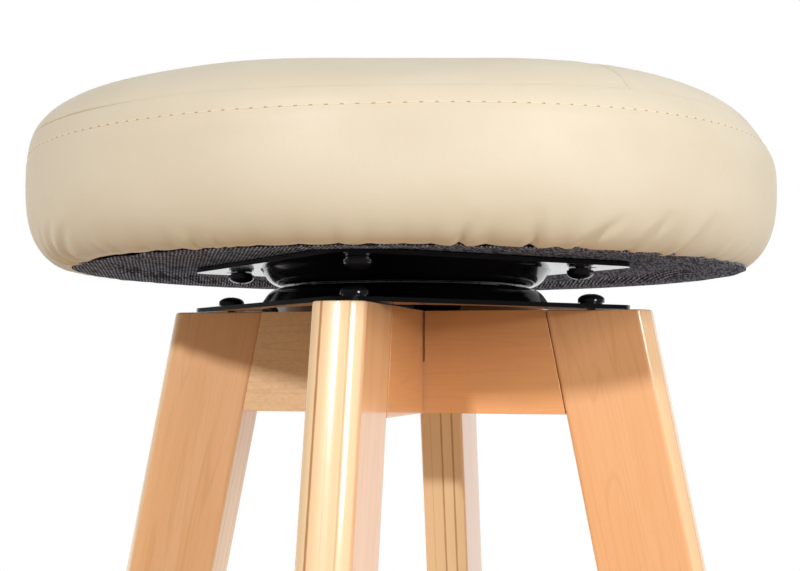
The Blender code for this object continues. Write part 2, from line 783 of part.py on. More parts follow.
def panel_radii():
    """Rings of a top panel, closer together towards the shoulder."""
    shares = [math.sin(math.pi / 2 * i / PANEL_RINGS) for i in range(PANEL_RINGS + 1)]
    return [SEAM_RADIUS * share for share in shares]


def shoulder_radii():
    """Rings of the band between the seam and the widest circle."""
    start = SEAM_RADIUS + SEAM_GAP
    return [start + (SEAT_RADIUS - start) * share for share in SHOULDER_SHARES]


def inset(points, distance):
    """Points moved square to their line, to its right-hand side."""
    moved = []
    for i, (radius, level) in enumerate(points):
        before = points[max(i - 1, 0)]
        after = points[min(i + 1, len(points) - 1)]
        run = Vector((after[0] - before[0], after[1] - before[1])).normalized()
        if radius == 0.0:
            run = Vector((1.0, 0.0))
        moved.append((radius + run.y * distance, level - run.x * distance))
    return moved


def seam_dip(x, y):
    """How far the radial seams draw the crown down at a point."""
    from_seam = min(abs(x - y), abs(x + y)) / math.sqrt(2)
    fade = 1 - min(math.hypot(x, y) / SEAM_RADIUS, 1.0) ** SEAM_FADE
    return SEAM_DIP * fade * math.exp(-((from_seam / SEAM_SOFTNESS) ** 2))


# Seat board, foam and cover
def build_board():
    top = BOARD_LEVEL + BOARD_THICKNESS
    profile = [
        (0.0, top),
        (BOARD_RADIUS - BOARD_CHAMFER, top),
        (BOARD_RADIUS, top - BOARD_CHAMFER),
        (BOARD_RADIUS, BOARD_LEVEL + BOARD_CHAMFER),
        (BOARD_RADIUS - BOARD_CHAMFER, BOARD_LEVEL),
        (0.0, BOARD_LEVEL),
    ]
    lowered = [(radius, level - SWIVEL_TOP) for radius, level in profile]
    board = turned(
        "seat_board", lowered, BARE_WOOD, SEAT_PIVOT, RING_STEPS, location=(0.0, 0.0, SWIVEL_TOP)
    )
    tip = SWIVEL_TOP - PLATE_SHEET - FIT_GAP + SEAT_SCREW_LENGTH
    cut(board, seat_screw_cutter("board_holes", tip + BLIND_ROOM))


def build_foam():
    outside = [crown_point(radius) for radius in panel_radii()]
    outside += [crown_point(radius) for radius in shoulder_radii()[1:]]
    outside += [side_point(share) for share in SKIRT_SHARES]
    skin = inset(outside, LEATHER + FOAM_GAP)
    pocket_radius = BOARD_RADIUS + FIT_GAP
    pocket_top = BOARD_LEVEL + BOARD_THICKNESS + FIT_GAP
    profile = [*skin, (pocket_radius, skin[-1][1]), (pocket_radius, pocket_top), (0.0, pocket_top)]
    mesh = baked_mesh(turned("foam_blank", profile, PALE_FOAM, BASE_PIVOT, RING_STEPS))
    for vertex in mesh.vertices:
        if vertex.co.z > WIDEST_LEVEL:
            vertex.co.z -= seam_dip(vertex.co.x, vertex.co.y)
        vertex.co.z -= SWIVEL_TOP
    place("seat_foam", mesh, PALE_FOAM, SEAT_PIVOT, (0.0, 0.0, SWIVEL_TOP))


def build_panels():
    """Four quarter panels of leather, sewn together over the crown."""
    radii = panel_radii()
    radii[0] = radii[1] / PANEL_RINGS
    columns = RING_STEPS // 4
    for side in LEG_SIDES:
        shape = bmesh.new()
        bmesh.ops.create_grid(shape, x_segments=PANEL_RINGS, y_segments=columns, size=0.5)
        for vertex in shape.verts:
            radius = radii[round((vertex.co.x + 0.5) * PANEL_RINGS)]
            half_angle = math.pi / 4 - FIT_GAP / 2 / radius
            angle = 2 * vertex.co.y * half_angle + quarter_turn(side)
            x, y = polar(radius, angle)
            vertex.co = (x, y, crown_point(radius)[1] - seam_dip(x, y) - SWIVEL_TOP)
        panel = place(
            f"seat_panel_{side}",
            mesh_of("seat_panel", shape),
            CREAM_LEATHER,
            SEAT_PIVOT,
            (0.0, 0.0, SWIVEL_TOP),
        )
        thickness = panel.modifiers.new("leather", "SOLIDIFY")
        thickness.thickness = LEATHER
        thickness.offset = -1.0


def build_band():
    """Side band of leather, from the seam down to the hem that is stapled under the board."""
    upper = [crown_point(radius) for radius in shoulder_radii()]
    lower = [side_point(share) for share in SKIRT_SHARES + FOLD_SHARES]
    inside = inset(upper + lower, LEATHER)[: len(upper) + len(SKIRT_SHARES)]
    hem_top = HEM_LEVEL + LEATHER
    section = [
        *upper,
        *lower,
        (ROLL_RADIUS - ROLL_LIP, ROLL_LEVEL + ROLL_LIP_RISE),
        (ROLL_RADIUS - ROLL_TURN, HEM_LEVEL),
        (HEM_RADIUS, HEM_LEVEL),
        (HEM_RADIUS, hem_top),
        (BOARD_RADIUS + LEATHER, hem_top),
        *reversed(inside),
    ]
    lowered = [(radius, level - SWIVEL_TOP) for radius, level in section]
    turned(
        "seat_side_band",
        lowered,
        CREAM_LEATHER,
        SEAT_PIVOT,
        RING_STEPS,
        closed=True,
        location=(0.0, 0.0, SWIVEL_TOP),
    )


def build_dust_cover():
    """Woven cloth over the underside: flat on the board, and stepped down over the leather hem."""
    edge = ROLL_RADIUS - ROLL_TURN - FIT_GAP
    step = HEM_RADIUS - FIT_GAP
    slope = HEM_LEVEL + LEATHER - RIM_COVER_LEVEL
    lower_side = [
        (edge, RIM_COVER_LEVEL),
        (step, RIM_COVER_LEVEL),
        (step - slope, DUST_COVER_LEVEL),
        (0.0, DUST_COVER_LEVEL),
    ]
    upper_side = [
        (0.0, DUST_COVER_LEVEL + DUST_COVER_SHEET),
        (step - slope, DUST_COVER_LEVEL + DUST_COVER_SHEET),
        (step, RIM_COVER_LEVEL + DUST_COVER_SHEET),
        (edge, RIM_COVER_LEVEL + DUST_COVER_SHEET),
    ]
    lowered = [(radius, level - SWIVEL_TOP) for radius, level in upper_side + lower_side]
    cover = turned(
        "dust_cover", lowered, DARK_CLOTH, SEAT_PIVOT, RING_STEPS, location=(0.0, 0.0, SWIVEL_TOP)
    )
    cut(cover, seat_screw_cutter("dust_cover_holes", BOARD_LEVEL + BOARD_THICKNESS))


build_legs()
build_rails()
build_dowels()
build_footrest()
build_glides()
build_plates()
build_bearing()
build_rivet()
build_plate_screws()
build_board()
build_foam()
build_panels()
build_band()
build_dust_cover()
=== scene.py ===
import math

import bmesh
import bpy
import numpy as np
from mathutils import Matrix, Vector


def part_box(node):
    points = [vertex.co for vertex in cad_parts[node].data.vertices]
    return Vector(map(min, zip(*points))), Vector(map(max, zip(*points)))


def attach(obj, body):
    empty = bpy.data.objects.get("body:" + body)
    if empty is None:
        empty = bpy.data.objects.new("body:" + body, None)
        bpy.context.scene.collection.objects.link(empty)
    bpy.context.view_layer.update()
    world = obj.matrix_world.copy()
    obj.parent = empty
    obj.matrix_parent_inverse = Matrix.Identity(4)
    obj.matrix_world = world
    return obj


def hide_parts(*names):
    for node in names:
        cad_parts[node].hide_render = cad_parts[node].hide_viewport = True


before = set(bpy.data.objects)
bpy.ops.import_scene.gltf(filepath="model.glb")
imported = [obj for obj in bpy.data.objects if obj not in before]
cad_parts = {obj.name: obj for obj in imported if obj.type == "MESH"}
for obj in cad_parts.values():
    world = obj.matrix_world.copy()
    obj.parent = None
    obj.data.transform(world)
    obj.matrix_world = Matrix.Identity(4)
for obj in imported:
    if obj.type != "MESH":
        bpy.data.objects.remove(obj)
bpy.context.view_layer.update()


# Legs: four straight boards of four birch plies glued flat, splayed outwards and sawn level at both ends.
# The outer edge is rounded over, the boards are lacquered, and a housing in the inner edge takes the
# footrest ring. Each leg top carries one corner of the swivel plate.
LEG_SIDES = {"right": 0.0, "back": 90.0, "left": 180.0, "front": 270.0}
LEG_DEPTH = {"right": 0.40, "back": 0.1, "left": 0.05, "front": 0.1}  # how deep a tone each board has
LEG_SPLAY = math.radians(11.0)
LEG_WIDTH = 0.050
LEG_GLUE = {  # how strongly each board's three glue lines show
    "right": (0.5, 0.4, 0.4),
    "back": (0.8, 0.8, 0.25),
    "left": (0.4, 0.3, 0.5),
    "front": (1.0, 0.15, 0.45),
}
LEG_SEED_STEP = 3.7  # sets the grain of one board apart from the next one's
LEG_NOSE = 0.0063  # the middle of the outer edge stands this much proud of its corners
LEG_NOSE_FULLNESS = 2.6
LEG_NOSE_STRIPS = 16
LEG_PROUD = 0.0010  # the sanded outer edge stands this much outside the sawn board
LEG_ARRIS = 0.0016  # soft corners beside the rounded edge
LEG_INNER_ROUND = 0.0020
LEG_END_EASE = 0.0008
LEVEL_FACE = 0.9  # a face whose normal is this much upright is a sawn end
HOUSING_CLEARANCE = 0.0002
SHADE_ANGLE = math.radians(32.0)
NEAR = 0.0001  # places this close together count as one
DOUBLES_APART = 0.000005


def begin(name, add, **size):
    """Adds a primitive as a new piece, with nothing else selected, and opens it in edit mode."""
    bpy.ops.object.select_all(action="DESELECT")
    add(**size)
    piece = bpy.context.object
    piece.name = name
    piece.data.name = name
    bpy.ops.object.transform_apply(location=True, rotation=True, scale=True)
    bpy.ops.object.mode_set(mode="EDIT")
    return piece


def block(name, middle, size):
    """A box as a new piece, open in edit mode."""
    return begin(name, bpy.ops.mesh.primitive_cube_add, size=1.0, location=middle, scale=size)


def pick(kind, test):
    """Selects, in edit mode, only the vertices, edges or faces whose middle passes a test."""
    bpy.ops.mesh.select_mode(type=kind)
    bpy.ops.mesh.select_all(action="DESELECT")
    mesh = bpy.context.edit_object.data
    shape = bmesh.from_edit_mesh(mesh)
    for part in {"VERT": shape.verts, "EDGE": shape.edges, "FACE": shape.faces}[kind]:
        corners = [part] if kind == "VERT" else part.verts
        middle = sum((corner.co for corner in corners), Vector()) / len(corners)
        part.select_set(test(middle, part))
    shape.select_flush_mode()
    bmesh.update_edit_mesh(mesh)


def close(piece):
    """Leaves edit mode with doubles merged, normals pointing out and round faces shaded smooth."""
    bpy.ops.mesh.select_all(action="SELECT")
    bpy.ops.mesh.remove_doubles(threshold=DOUBLES_APART)
    bpy.ops.mesh.normals_make_consistent(inside=False)
    bpy.ops.object.mode_set(mode="OBJECT")
    bpy.ops.object.shade_smooth_by_angle(angle=SHADE_ANGLE)
    return piece


def take(piece):
    """Selects one piece alone, as the active one."""
    bpy.ops.object.select_all(action="DESELECT")
    bpy.context.view_layer.objects.active = piece
    piece.select_set(True)


def work(piece, kind, **settings):
    """Adds a modifier to a piece and applies it."""
    tool = piece.modifiers.new(kind.lower(), kind)
    for name, value in settings.items():
        setattr(tool, name, value)
    take(piece)
    bpy.ops.object.modifier_apply(modifier=tool.name)


def carve(piece, cutter):
    """Cuts one piece out of another, and removes the cutter."""
    work(piece, "BOOLEAN", operation="DIFFERENCE", solver="EXACT", object=cutter)
    bpy.data.objects.remove(cutter)


def even_shading(piece):
    """Keeps broad faces flat in the shading beside their rounded edges."""
    take(piece)
    bpy.ops.object.shade_smooth_by_angle(angle=SHADE_ANGLE)
    work(piece, "WEIGHTED_NORMAL", keep_sharp=True)


def copied(piece, name, place):
    """A copy of a piece with its own mesh, moved by a matrix."""
    twin = piece.copy()
    twin.data = piece.data.copy()
    twin.data.transform(place)
    twin.name = name
    twin.data.name = name
    bpy.context.scene.collection.objects.link(twin)
    return twin


def heading(side):
    return math.radians(LEG_SIDES[side])


def turned_to(side):
    return Matrix.Rotation(heading(side), 4, "Z")


def fit(piece, finish, body, slot, *nodes):
    """Gives a piece its finish and its body, and hides the nodes that it stands for."""
    piece.data.materials.clear()
    piece.data.materials.append(finish)
    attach(piece, body)
    if nodes:
        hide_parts(*nodes)


def srgb(red, green, blue):
    """A colour written as it shows on a screen, from 0 to 255, for a shader's socket."""
    shares = [part / 255 for part in (red, green, blue)]
    return (*[s / 12.92 if s <= 0.04045 else ((s + 0.055) / 1.055) ** 2.4 for s in shares], 1.0)


class Signal:
    """A socket in a finish. Arithmetic on signals adds Math nodes, and node() adds any other node."""

    def __init__(self, socket):
        self.socket = socket

    def node(self, kind, settings, inputs, output=0):
        tree = self.socket.id_data
        made = tree.nodes.new(kind)
        for name, value in settings.items():
            setattr(made, name, value)
        for name, value in inputs.items():
            if isinstance(value, Signal):
                tree.links.new(value.socket, made.inputs[name])
            else:
                made.inputs[name].default_value = value
        return Signal(made.outputs[output])

    def maths(self, operation, *values):
        return self.node("ShaderNodeMath", {"operation": operation}, dict(enumerate(values)))

    def __add__(self, other):
        return self.maths("ADD", self, other)

    def __radd__(self, other):
        return self.maths("ADD", other, self)

    def __sub__(self, other):
        return self.maths("SUBTRACT", self, other)

    def __rsub__(self, other):
        return self.maths("SUBTRACT", other, self)

    def __mul__(self, other):
        return self.maths("MULTIPLY", self, other)

    def __rmul__(self, other):
        return self.maths("MULTIPLY", other, self)

    def __truediv__(self, other):
        return self.maths("DIVIDE", self, other)

    def __abs__(self):
        return self.maths("ABSOLUTE", self)

    def feed(self, shader, name):
        self.socket.id_data.links.new(self.socket, shader.inputs[name])


def new_finish(name, constants):
    """A material, its shader with constant sockets set, and its Object coordinates in millimetres."""
    finish = bpy.data.materials.new(name)
    finish.use_nodes = True
    shader = finish.node_tree.nodes["Principled BSDF"]
    for socket, value in constants.items():
        shader.inputs[socket].default_value = value
    start = finish.node_tree.nodes.new("ShaderNodeTexCoord")
    place = Signal(start.outputs["Object"])
    return finish, shader, place.node("ShaderNodeMapping", {}, {0: place, "Scale": (1000.0,) * 3})


def axes(vector):
    """The three parts of a vector."""
    first = vector.node("ShaderNodeSeparateXYZ", {}, {0: vector})
    return [Signal(socket) for socket in first.socket.node.outputs]


def fade(signal, start, end):
    """0 up to the start, 1 from the end, and smooth between them."""
    return signal.node(
        "ShaderNodeMapRange", {"interpolation_type": "SMOOTHSTEP"}, {0: signal, 1: start, 2: end}
    )


def noise(x, y, z, detail):
    """Cloudy noise whose spots are about as wide as one unit of its three axes."""
    spot = x.node("ShaderNodeCombineXYZ", {}, {0: x, 1: y, 2: z})
    return spot.node("ShaderNodeTexNoise", {}, {"Vector": spot, "Scale": 1.0, "Detail": detail})


def cloudy(place, spots, detail):
    """The same over a finish's coordinates, with a number of spots in a millimetre along each axis."""
    spot = place.node("ShaderNodeMapping", {}, {0: place, "Scale": spots})
    return spot.node("ShaderNodeTexNoise", {}, {"Vector": spot, "Scale": 1.0, "Detail": detail})


def mix(share, first, second):
    """The first colour, or the second where the share is 1."""
    return share.node("ShaderNodeMix", {"data_type": "RGBA"}, {0: share, 6: first, 7: second}, 2)


def bump(height, strength, depth):
    """Surface relief of a depth in metres."""
    return height.node("ShaderNodeBump", {}, {"Height": height, "Strength": strength, "Distance": depth})


# The wood's lengths are in millimetres, as its finish measures them
MILLIMETRE = 0.001
PLY = 6.4
PLY_CROWN = 0.05  # the middle of a ply stands this much proud on a sanded edge
PLY_SEED_STEP = 17.3
GLUE_LINE = 0.66
SAWN_EDGE = (11.4, 12.2)  # a board shows its plies' pale edges within these distances from its middle
TURNS_PALE = 30.0  # a rail's wood turns from deep to pale over this length to each side of its middle
LACQUER = {"Coat Weight": 1.0, "Coat Roughness": 0.12, "Coat IOR": 1.55, "Specular IOR Level": 0.5}
WOOD_PALE = srgb(245, 196, 148)
WOOD_HONEY = srgb(239, 184, 132)
WOOD_DARK = srgb(214, 148, 90)
WOOD_DEEP = srgb(229, 152, 84)
WOOD_FLECK = srgb(178, 112, 58)
WOOD_EDGE = srgb(249, 217, 172)
WOOD_GLUE = srgb(176, 118, 66)


def paint_wood(shader, across, through, along, seed, deep, glue_lines, pale=None):
    """Plies across the board's thickness with glue lines of given strengths between them, and soft grain,
    pores and flecks along it. Where the wood is pale, it has a curly figure across the grain. Factors on
    the three axes are spots in a millimetre."""
    layers = through / PLY
    ply = layers.maths("FLOOR", layers)
    edge_of_ply = 0.5 - abs(layers - ply - 0.5)
    patch = ply * PLY_SEED_STEP + seed
    figure = noise(across * 0.07 + patch, through * 0.1, along * 0.008, 3.0)
    streaks = noise(across * 0.9 + patch, through * 0.9, along * 0.035, 3.0)
    flecks = noise(across * 2.6, through * 2.6 + patch, along * 0.32, 1.0)
    contour = noise(across * 0.05 + patch, through * 0.05, along * 0.0025, 1.0)
    rings = contour * 9.0
    ring_line = abs(rings - rings.maths("FLOOR", rings) - 0.5)
    waver = noise(across * 0.4, through * 0.4, along * 0.12 + seed, 2.0)
    first, middle, last = glue_lines
    shown = through.maths("GREATER_THAN", through, -PLY / 2) * (middle - first) + first
    shown = through.maths("GREATER_THAN", through, PLY / 2) * (last - middle) + shown
    sawn = 1.0 - fade(abs(through), *SAWN_EDGE)
    from_glue = (edge_of_ply * PLY + (waver - 0.5) * 0.4) / (shown + 0.4)
    glue = (1.0 - fade(from_glue, 0.3 * GLUE_LINE, GLUE_LINE)) * shown * sawn
    tone = ply.node("ShaderNodeTexWhiteNoise", {"noise_dimensions": "1D"}, {"W": ply + seed})
    colour = mix(fade(figure * 0.75 + tone * 0.25, 0.3, 0.72), WOOD_PALE, WOOD_HONEY)
    colour = mix(streaks * 0.2 + (deep - 0.1), colour, WOOD_DEEP)
    if pale:
        curl = noise(across * 0.6 + seed, through * 0.1, along * 0.35, 2.0)
        colour = mix(pale, colour, WOOD_EDGE)
        colour = mix(fade(curl, 0.4, 0.7) * pale * 0.3, colour, WOOD_DARK)
    colour = mix(fade(streaks, 0.45, 0.8) * 0.16, colour, WOOD_DARK)
    colour = mix((1.0 - fade(ring_line, 0.0, 0.09)) * 0.22, colour, WOOD_DARK)
    colour = mix(fade(flecks, 0.62, 0.74) * 0.14, colour, WOOD_FLECK)
    colour = mix(sawn * (0.6 + tone * 0.35), colour, WOOD_EDGE)
    colour = mix(glue * 0.85, colour, WOOD_GLUE)
    colour.feed(shader, "Base Color")
    (streaks * 0.10 + 0.36).feed(shader, "Roughness")
    crown = edge_of_ply * (1.0 - edge_of_ply) * (4.0 * PLY_CROWN)
    bump(streaks * 0.018 + crown - glue * 0.02, 1.0, MILLIMETRE).feed(shader, "Normal")


def board_finish(name, turn, lean, seed, deep, glue_lines, pale=None):
    """Wood of a board that faces along a turn about Z, its grain leaning from upright. It is deep in tone,
    or turns from deep to pale at its middle."""
    finish, shader, place = new_finish(name, LACQUER)
    faced = place.node("ShaderNodeMapping", {}, {0: place, "Rotation": (0.0, 0.0, -turn)})
    upright = faced.node("ShaderNodeMapping", {}, {0: faced, "Rotation": (0.0, lean, 0.0)})
    across, through, along = axes(upright)
    if pale:
        near = fade(along, -TURNS_PALE, TURNS_PALE)
        paint_wood(shader, across, through, along, seed, (1.0 - near) * deep, glue_lines, near * pale)
    else:
        paint_wood(shader, across, through, along, seed, deep, glue_lines)
    return finish


leg_low, leg_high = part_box("leg_right")
ring_low, ring_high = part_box("footrest_ring")
leg_reach = LEG_WIDTH / math.cos(LEG_SPLAY)
leg_middle = (leg_low + leg_high) / 2
leg_size = (leg_reach, leg_high.y - leg_low.y, leg_high.z - leg_low.z)
leg = block("leg_pattern", (leg_low.x + leg_reach / 2, 0.0, leg_middle.z), leg_size)
nose_shares = [2 * number / LEG_NOSE_STRIPS - 1 for number in range(LEG_NOSE_STRIPS + 1)]
for share in nose_shares[1:-1]:
    bpy.ops.mesh.select_all(action="SELECT")
    bpy.ops.mesh.bisect(plane_co=(0.0, leg_high.y * share, 0.0), plane_no=(0.0, 1.0, 0.0))


def at_nose(level):
    """Test for the corners of the outer edge at one place through the board."""
    return lambda middle, part: middle.x > leg_low.x + leg_reach / 2 and abs(middle.y - level) < NEAR


for share in nose_shares:
    recess = LEG_NOSE * abs(share) ** LEG_NOSE_FULLNESS
    pick("VERT", at_nose(leg_high.y * share))
    bpy.ops.transform.translate(value=(LEG_PROUD - recess, 0.0, 0.0))
pick("VERT", lambda middle, part: middle.z < leg_middle.z)
bpy.ops.transform.translate(value=(math.tan(LEG_SPLAY) * (leg_high.z - leg_low.z), 0.0, 0.0))


def leg_corner(outside):
    """Test for the leg's long corners, outer or inner."""

    def test(middle, part):
        upright = abs(part.verts[0].co.z - part.verts[1].co.z) > LEG_WIDTH
        outer = middle.x > leg_middle.x
        return upright and outer == outside and abs(middle.y) > leg_high.y - NEAR

    return test


pick("EDGE", leg_corner(True))
bpy.ops.mesh.bevel(offset=LEG_ARRIS, segments=4, affect="EDGES")
pick("EDGE", leg_corner(False))
bpy.ops.mesh.bevel(offset=LEG_INNER_ROUND, segments=5, affect="EDGES")
pick("EDGE", lambda middle, part: len({abs(face.normal.z) > LEVEL_FACE for face in part.link_faces}) == 2)
bpy.ops.mesh.bevel(offset=LEG_END_EASE, segments=2, affect="EDGES")
close(leg)
housing = begin(
    "housing_cutter",
    bpy.ops.mesh.primitive_cylinder_add,
    vertices=180,
    radius=ring_high.x + HOUSING_CLEARANCE,
    depth=ring_high.z - ring_low.z + 2 * HOUSING_CLEARANCE,
    location=(0.0, 0.0, (ring_low.z + ring_high.z) / 2),
)
carve(leg, close(housing))
even_shading(leg)
for number, side in enumerate(LEG_SIDES):
    board = copied(leg, f"leg_board_{side}", turned_to(side))
    finish = board_finish(
        f"leg_wood_{side}",
        heading(side),
        LEG_SPLAY,
        LEG_SEED_STEP * number,
        LEG_DEPTH[side],
        LEG_GLUE[side],
    )
    fit(board, finish, "base", "lacquered_wood", f"leg_{side}")
bpy.data.objects.remove(leg)


# Rails: two boards of the same plies between opposite legs, halved over each other at the middle.
# Their slanted ends butt against the inner edges of the legs, where two dowels and glue hold each joint.
RAIL_EASE = 0.0002
RAIL_DEPTH = 0.65
RAIL_PALE = 0.65
RAIL_GLUE = (0.5, 0.4, 0.5)
RAIL_GRAIN = math.radians(90.0)
LAP_WIDTH = 0.0263
for name, side, slot_up, seed, pale in (
    ("rail_left_right", "right", True, 26.0, RAIL_PALE),
    ("rail_front_back", "back", False, 21.0, None),
):
    rail_low, rail_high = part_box(name)
    rail_height = rail_high.z - rail_low.z
    rail_reach = max(rail_high.x, rail_high.y)
    rail_thickness = 2 * min(rail_high.x, rail_high.y)
    rail_middle = (rail_low.z + rail_high.z) / 2
    rail_size = (2 * rail_reach, rail_thickness, rail_height)
    rail = block(name + "_board", (0.0, 0.0, rail_middle), rail_size)
    for end in (-1.0, 1.0):
        pick("VERT", lambda middle, part: middle.z > rail_middle and middle.x * end > 0.0)
        bpy.ops.transform.translate(value=(-end * math.tan(LEG_SPLAY) * rail_height, 0.0, 0.0))
    close(rail)
    lap_middle = rail_middle + rail_height / 2 * (1 if slot_up else -1)
    lap = block("lap_cutter", (0.0, 0.0, lap_middle), (LAP_WIDTH, 2 * rail_thickness, rail_height))
    carve(rail, close(lap))
    work(rail, "BEVEL", width=RAIL_EASE, segments=3, limit_method="ANGLE", angle_limit=SHADE_ANGLE)
    rail.data.transform(turned_to(side))
    even_shading(rail)
    finish = board_finish(name + "_wood", heading(side), RAIL_GRAIN, seed, RAIL_DEPTH, RAIL_GLUE, pale)
    fit(rail, finish, "base", "lacquered_wood", name)


# Dowels: plain beech pins glued into the rails and the legs. They are hidden, so the nodes stay as they
# are and take a bare wood without lacquer.
BARE_WOOD_PALE = srgb(226, 196, 152)
BARE_WOOD_DARK = srgb(196, 158, 110)
bare_wood, shader, place = new_finish("dowel_wood", {"Specular IOR Level": 0.25})
pores = cloudy(place, (1.4, 1.4, 1.4), 3.0)
mix(fade(pores, 0.35, 0.7), BARE_WOOD_PALE, BARE_WOOD_DARK).feed(shader, "Base Color")
(pores * 0.2 + 0.65).feed(shader, "Roughness")
bump(pores, 0.2, 0.0002).feed(shader, "Normal")


def refinish(node, finish):
    """Puts a finish on a node that keeps its own shape."""
    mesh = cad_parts[node].data
    mesh.materials.clear()
    mesh.materials.append(finish)


for side in LEG_SIDES:
    for row in ("upper", "lower"):
        refinish(f"dowel_{side}_{row}", bare_wood)


# Footrest ring: thin plies bent round a former and glued into a hoop, with eased edges. It is let into
# the inner edges of the legs and held by one countersunk screw in each.
RING_THICKNESS = 0.020
RING_EASE = 0.0042
RING_PLY = 5.1
RING_SEED = 41.0
SCREW_HEAD_RADIUS = 0.0040
SCREW_SHANK_RADIUS = 0.0020
SINK_MARGIN = 0.0016  # the countersink is this much wider than the head
SINK_SHANK_MARGIN = 0.0002
SINK_DEPTH = 0.0034
SINK_MIDDLE = 0.0005  # outside the ring's bore
ring_middle = Vector((ring_high.x - RING_THICKNESS / 2, 0.0, (ring_low.z + ring_high.z) / 2))
ring = begin(
    "footrest_hoop",
    bpy.ops.mesh.primitive_plane_add,
    size=RING_THICKNESS,
    location=ring_middle,
    rotation=(math.pi / 2, 0.0, 0.0),
)
bpy.ops.mesh.select_all(action="SELECT")
ring_depth = ring_high.z - ring_low.z
bpy.ops.transform.resize(value=(1.0, 1.0, ring_depth / RING_THICKNESS), center_override=ring_middle)
bpy.ops.mesh.bevel(offset=RING_EASE, segments=6, affect="VERTICES")
bpy.ops.mesh.delete(type="ONLY_FACE")
bpy.ops.mesh.select_all(action="SELECT")
bpy.ops.mesh.spin(steps=180, angle=2 * math.pi, center=(0.0, 0.0, 0.0), axis=(0.0, 0.0, 1.0))
close(ring)
ring_bore = ring_high.x - RING_THICKNESS
for side in LEG_SIDES:
    sink = begin(
        "countersink_cutter",
        bpy.ops.mesh.primitive_cone_add,
        vertices=40,
        radius1=SCREW_HEAD_RADIUS + SINK_MARGIN,
        radius2=SCREW_SHANK_RADIUS + SINK_SHANK_MARGIN,
        depth=SINK_DEPTH,
        location=(ring_bore + SINK_MIDDLE, 0.0, ring_middle.z),
        rotation=(0.0, math.pi / 2, 0.0),
    )
    close(sink)
    sink.data.transform(turned_to(side))
    carve(ring, sink)
even_shading(ring)
finish, shader, place = new_finish("footrest_wood", LACQUER)
x, y, z = axes(place)
radius = (x * x + y * y).maths("SQRT", x * x + y * y)
turn = y.maths("ARCTAN2", y, x)
through = (radius - 1000 * ring_middle.x) * (PLY / RING_PLY)
paint_wood(shader, z, through, turn * (1000 * ring_middle.x), RING_SEED, RAIL_DEPTH, RAIL_GLUE)
fit(ring, finish, "base", "lacquered_wood", "footrest_ring")


# Footrest screws: countersunk wood screws of bright steel with a cross recess. They are driven from inside
# the ring into the legs.
SCREW_RIM_EASE = 0.0002
SCREW_RIM = 0.0003
SCREW_HEAD_DEPTH = 0.0022
SCREW_RECESS = (0.0046, 0.0011, 0.0018)  # length and width of an arm, and depth
RECESS_TAPER = (0.45, 0.7, 1.0)


def turn_on_lathe(name, profile, steps):
    """A turned piece from a profile of (radius, level) pairs: a point drawn along it and spun round Z."""
    piece = begin(name, bpy.ops.mesh.primitive_plane_add, size=0.001)
    bpy.ops.mesh.select_all(action="SELECT")
    bpy.ops.mesh.merge(type="CENTER")
    bpy.ops.mesh.select_all(action="SELECT")
    bpy.ops.transform.translate(value=(profile[0][0], 0.0, profile[0][1]))
    for before, after in zip(profile, profile[1:]):
        step = (after[0] - before[0], 0.0, after[1] - before[1])
        bpy.ops.mesh.extrude_vertices_move(TRANSFORM_OT_translate={"value": step})
    bpy.ops.mesh.select_all(action="SELECT")
    bpy.ops.mesh.spin(steps=steps, angle=2 * math.pi, center=(0.0, 0.0, 0.0), axis=(0.0, 0.0, 1.0))
    return close(piece)


def arc(middle, size, start, end, steps):
    """Points of a profile on an arc, whose angles count from its outermost place upwards."""
    turns = [start + (end - start) * number / steps for number in range(steps + 1)]
    return [(middle[0] + size[0] * math.cos(turn), middle[1] + size[1] * math.sin(turn)) for turn in turns]


def cross_recess(piece, top, recess):
    """Cuts a cross recess, narrower towards its floor, into a screw head whose top is at a level."""
    length, width, depth = recess
    for turn in (0.0, math.pi / 2):
        arm = block("recess_cutter", (0.0, 0.0, top), (length, width, 2 * depth))
        pick("VERT", lambda middle, part: middle.z < top)
        bpy.ops.transform.resize(value=RECESS_TAPER, center_override=(0.0, 0.0, top))
        close(arm)
        arm.data.transform(Matrix.Rotation(turn, 4, "Z"))
        carve(piece, arm)


steel, shader, place = new_finish("bright_screw_steel", {"Metallic": 1.0})
scuffs = cloudy(place, (2.0, 2.0, 6.0), 4.0)
mix(scuffs, srgb(196, 196, 198), srgb(226, 225, 222)).feed(shader, "Base Color")
(scuffs * 0.25 + 0.16).feed(shader, "Roughness")
bump(scuffs, 0.08, 0.0001).feed(shader, "Normal")
screw_low, screw_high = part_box("footrest_screw_right")
screw_length = screw_high.x - screw_low.x
wood_screw = turn_on_lathe(
    "wood_screw_pattern",
    [
        (0.0, 0.0),
        (SCREW_HEAD_RADIUS - SCREW_RIM_EASE, 0.0),
        (SCREW_HEAD_RADIUS, -SCREW_RIM),
        (SCREW_SHANK_RADIUS, -SCREW_HEAD_DEPTH),
        (SCREW_SHANK_RADIUS, 2 * SCREW_SHANK_RADIUS - screw_length),
        (0.0, -screw_length),
    ],
    40,
)
cross_recess(wood_screw, 0.0, SCREW_RECESS)
even_shading(wood_screw)
screw_place = Matrix.Translation((screw_low.x, 0.0, ring_middle.z))
lay_inwards = screw_place @ Matrix.Rotation(-math.pi / 2, 4, "Y")
for side in LEG_SIDES:
    screw = copied(wood_screw, f"footrest_wood_screw_{side}", turned_to(side) @ lay_inwards)
    fit(screw, steel, "base", "bright_steel", f"footrest_screw_{side}")
bpy.data.objects.remove(wood_screw)


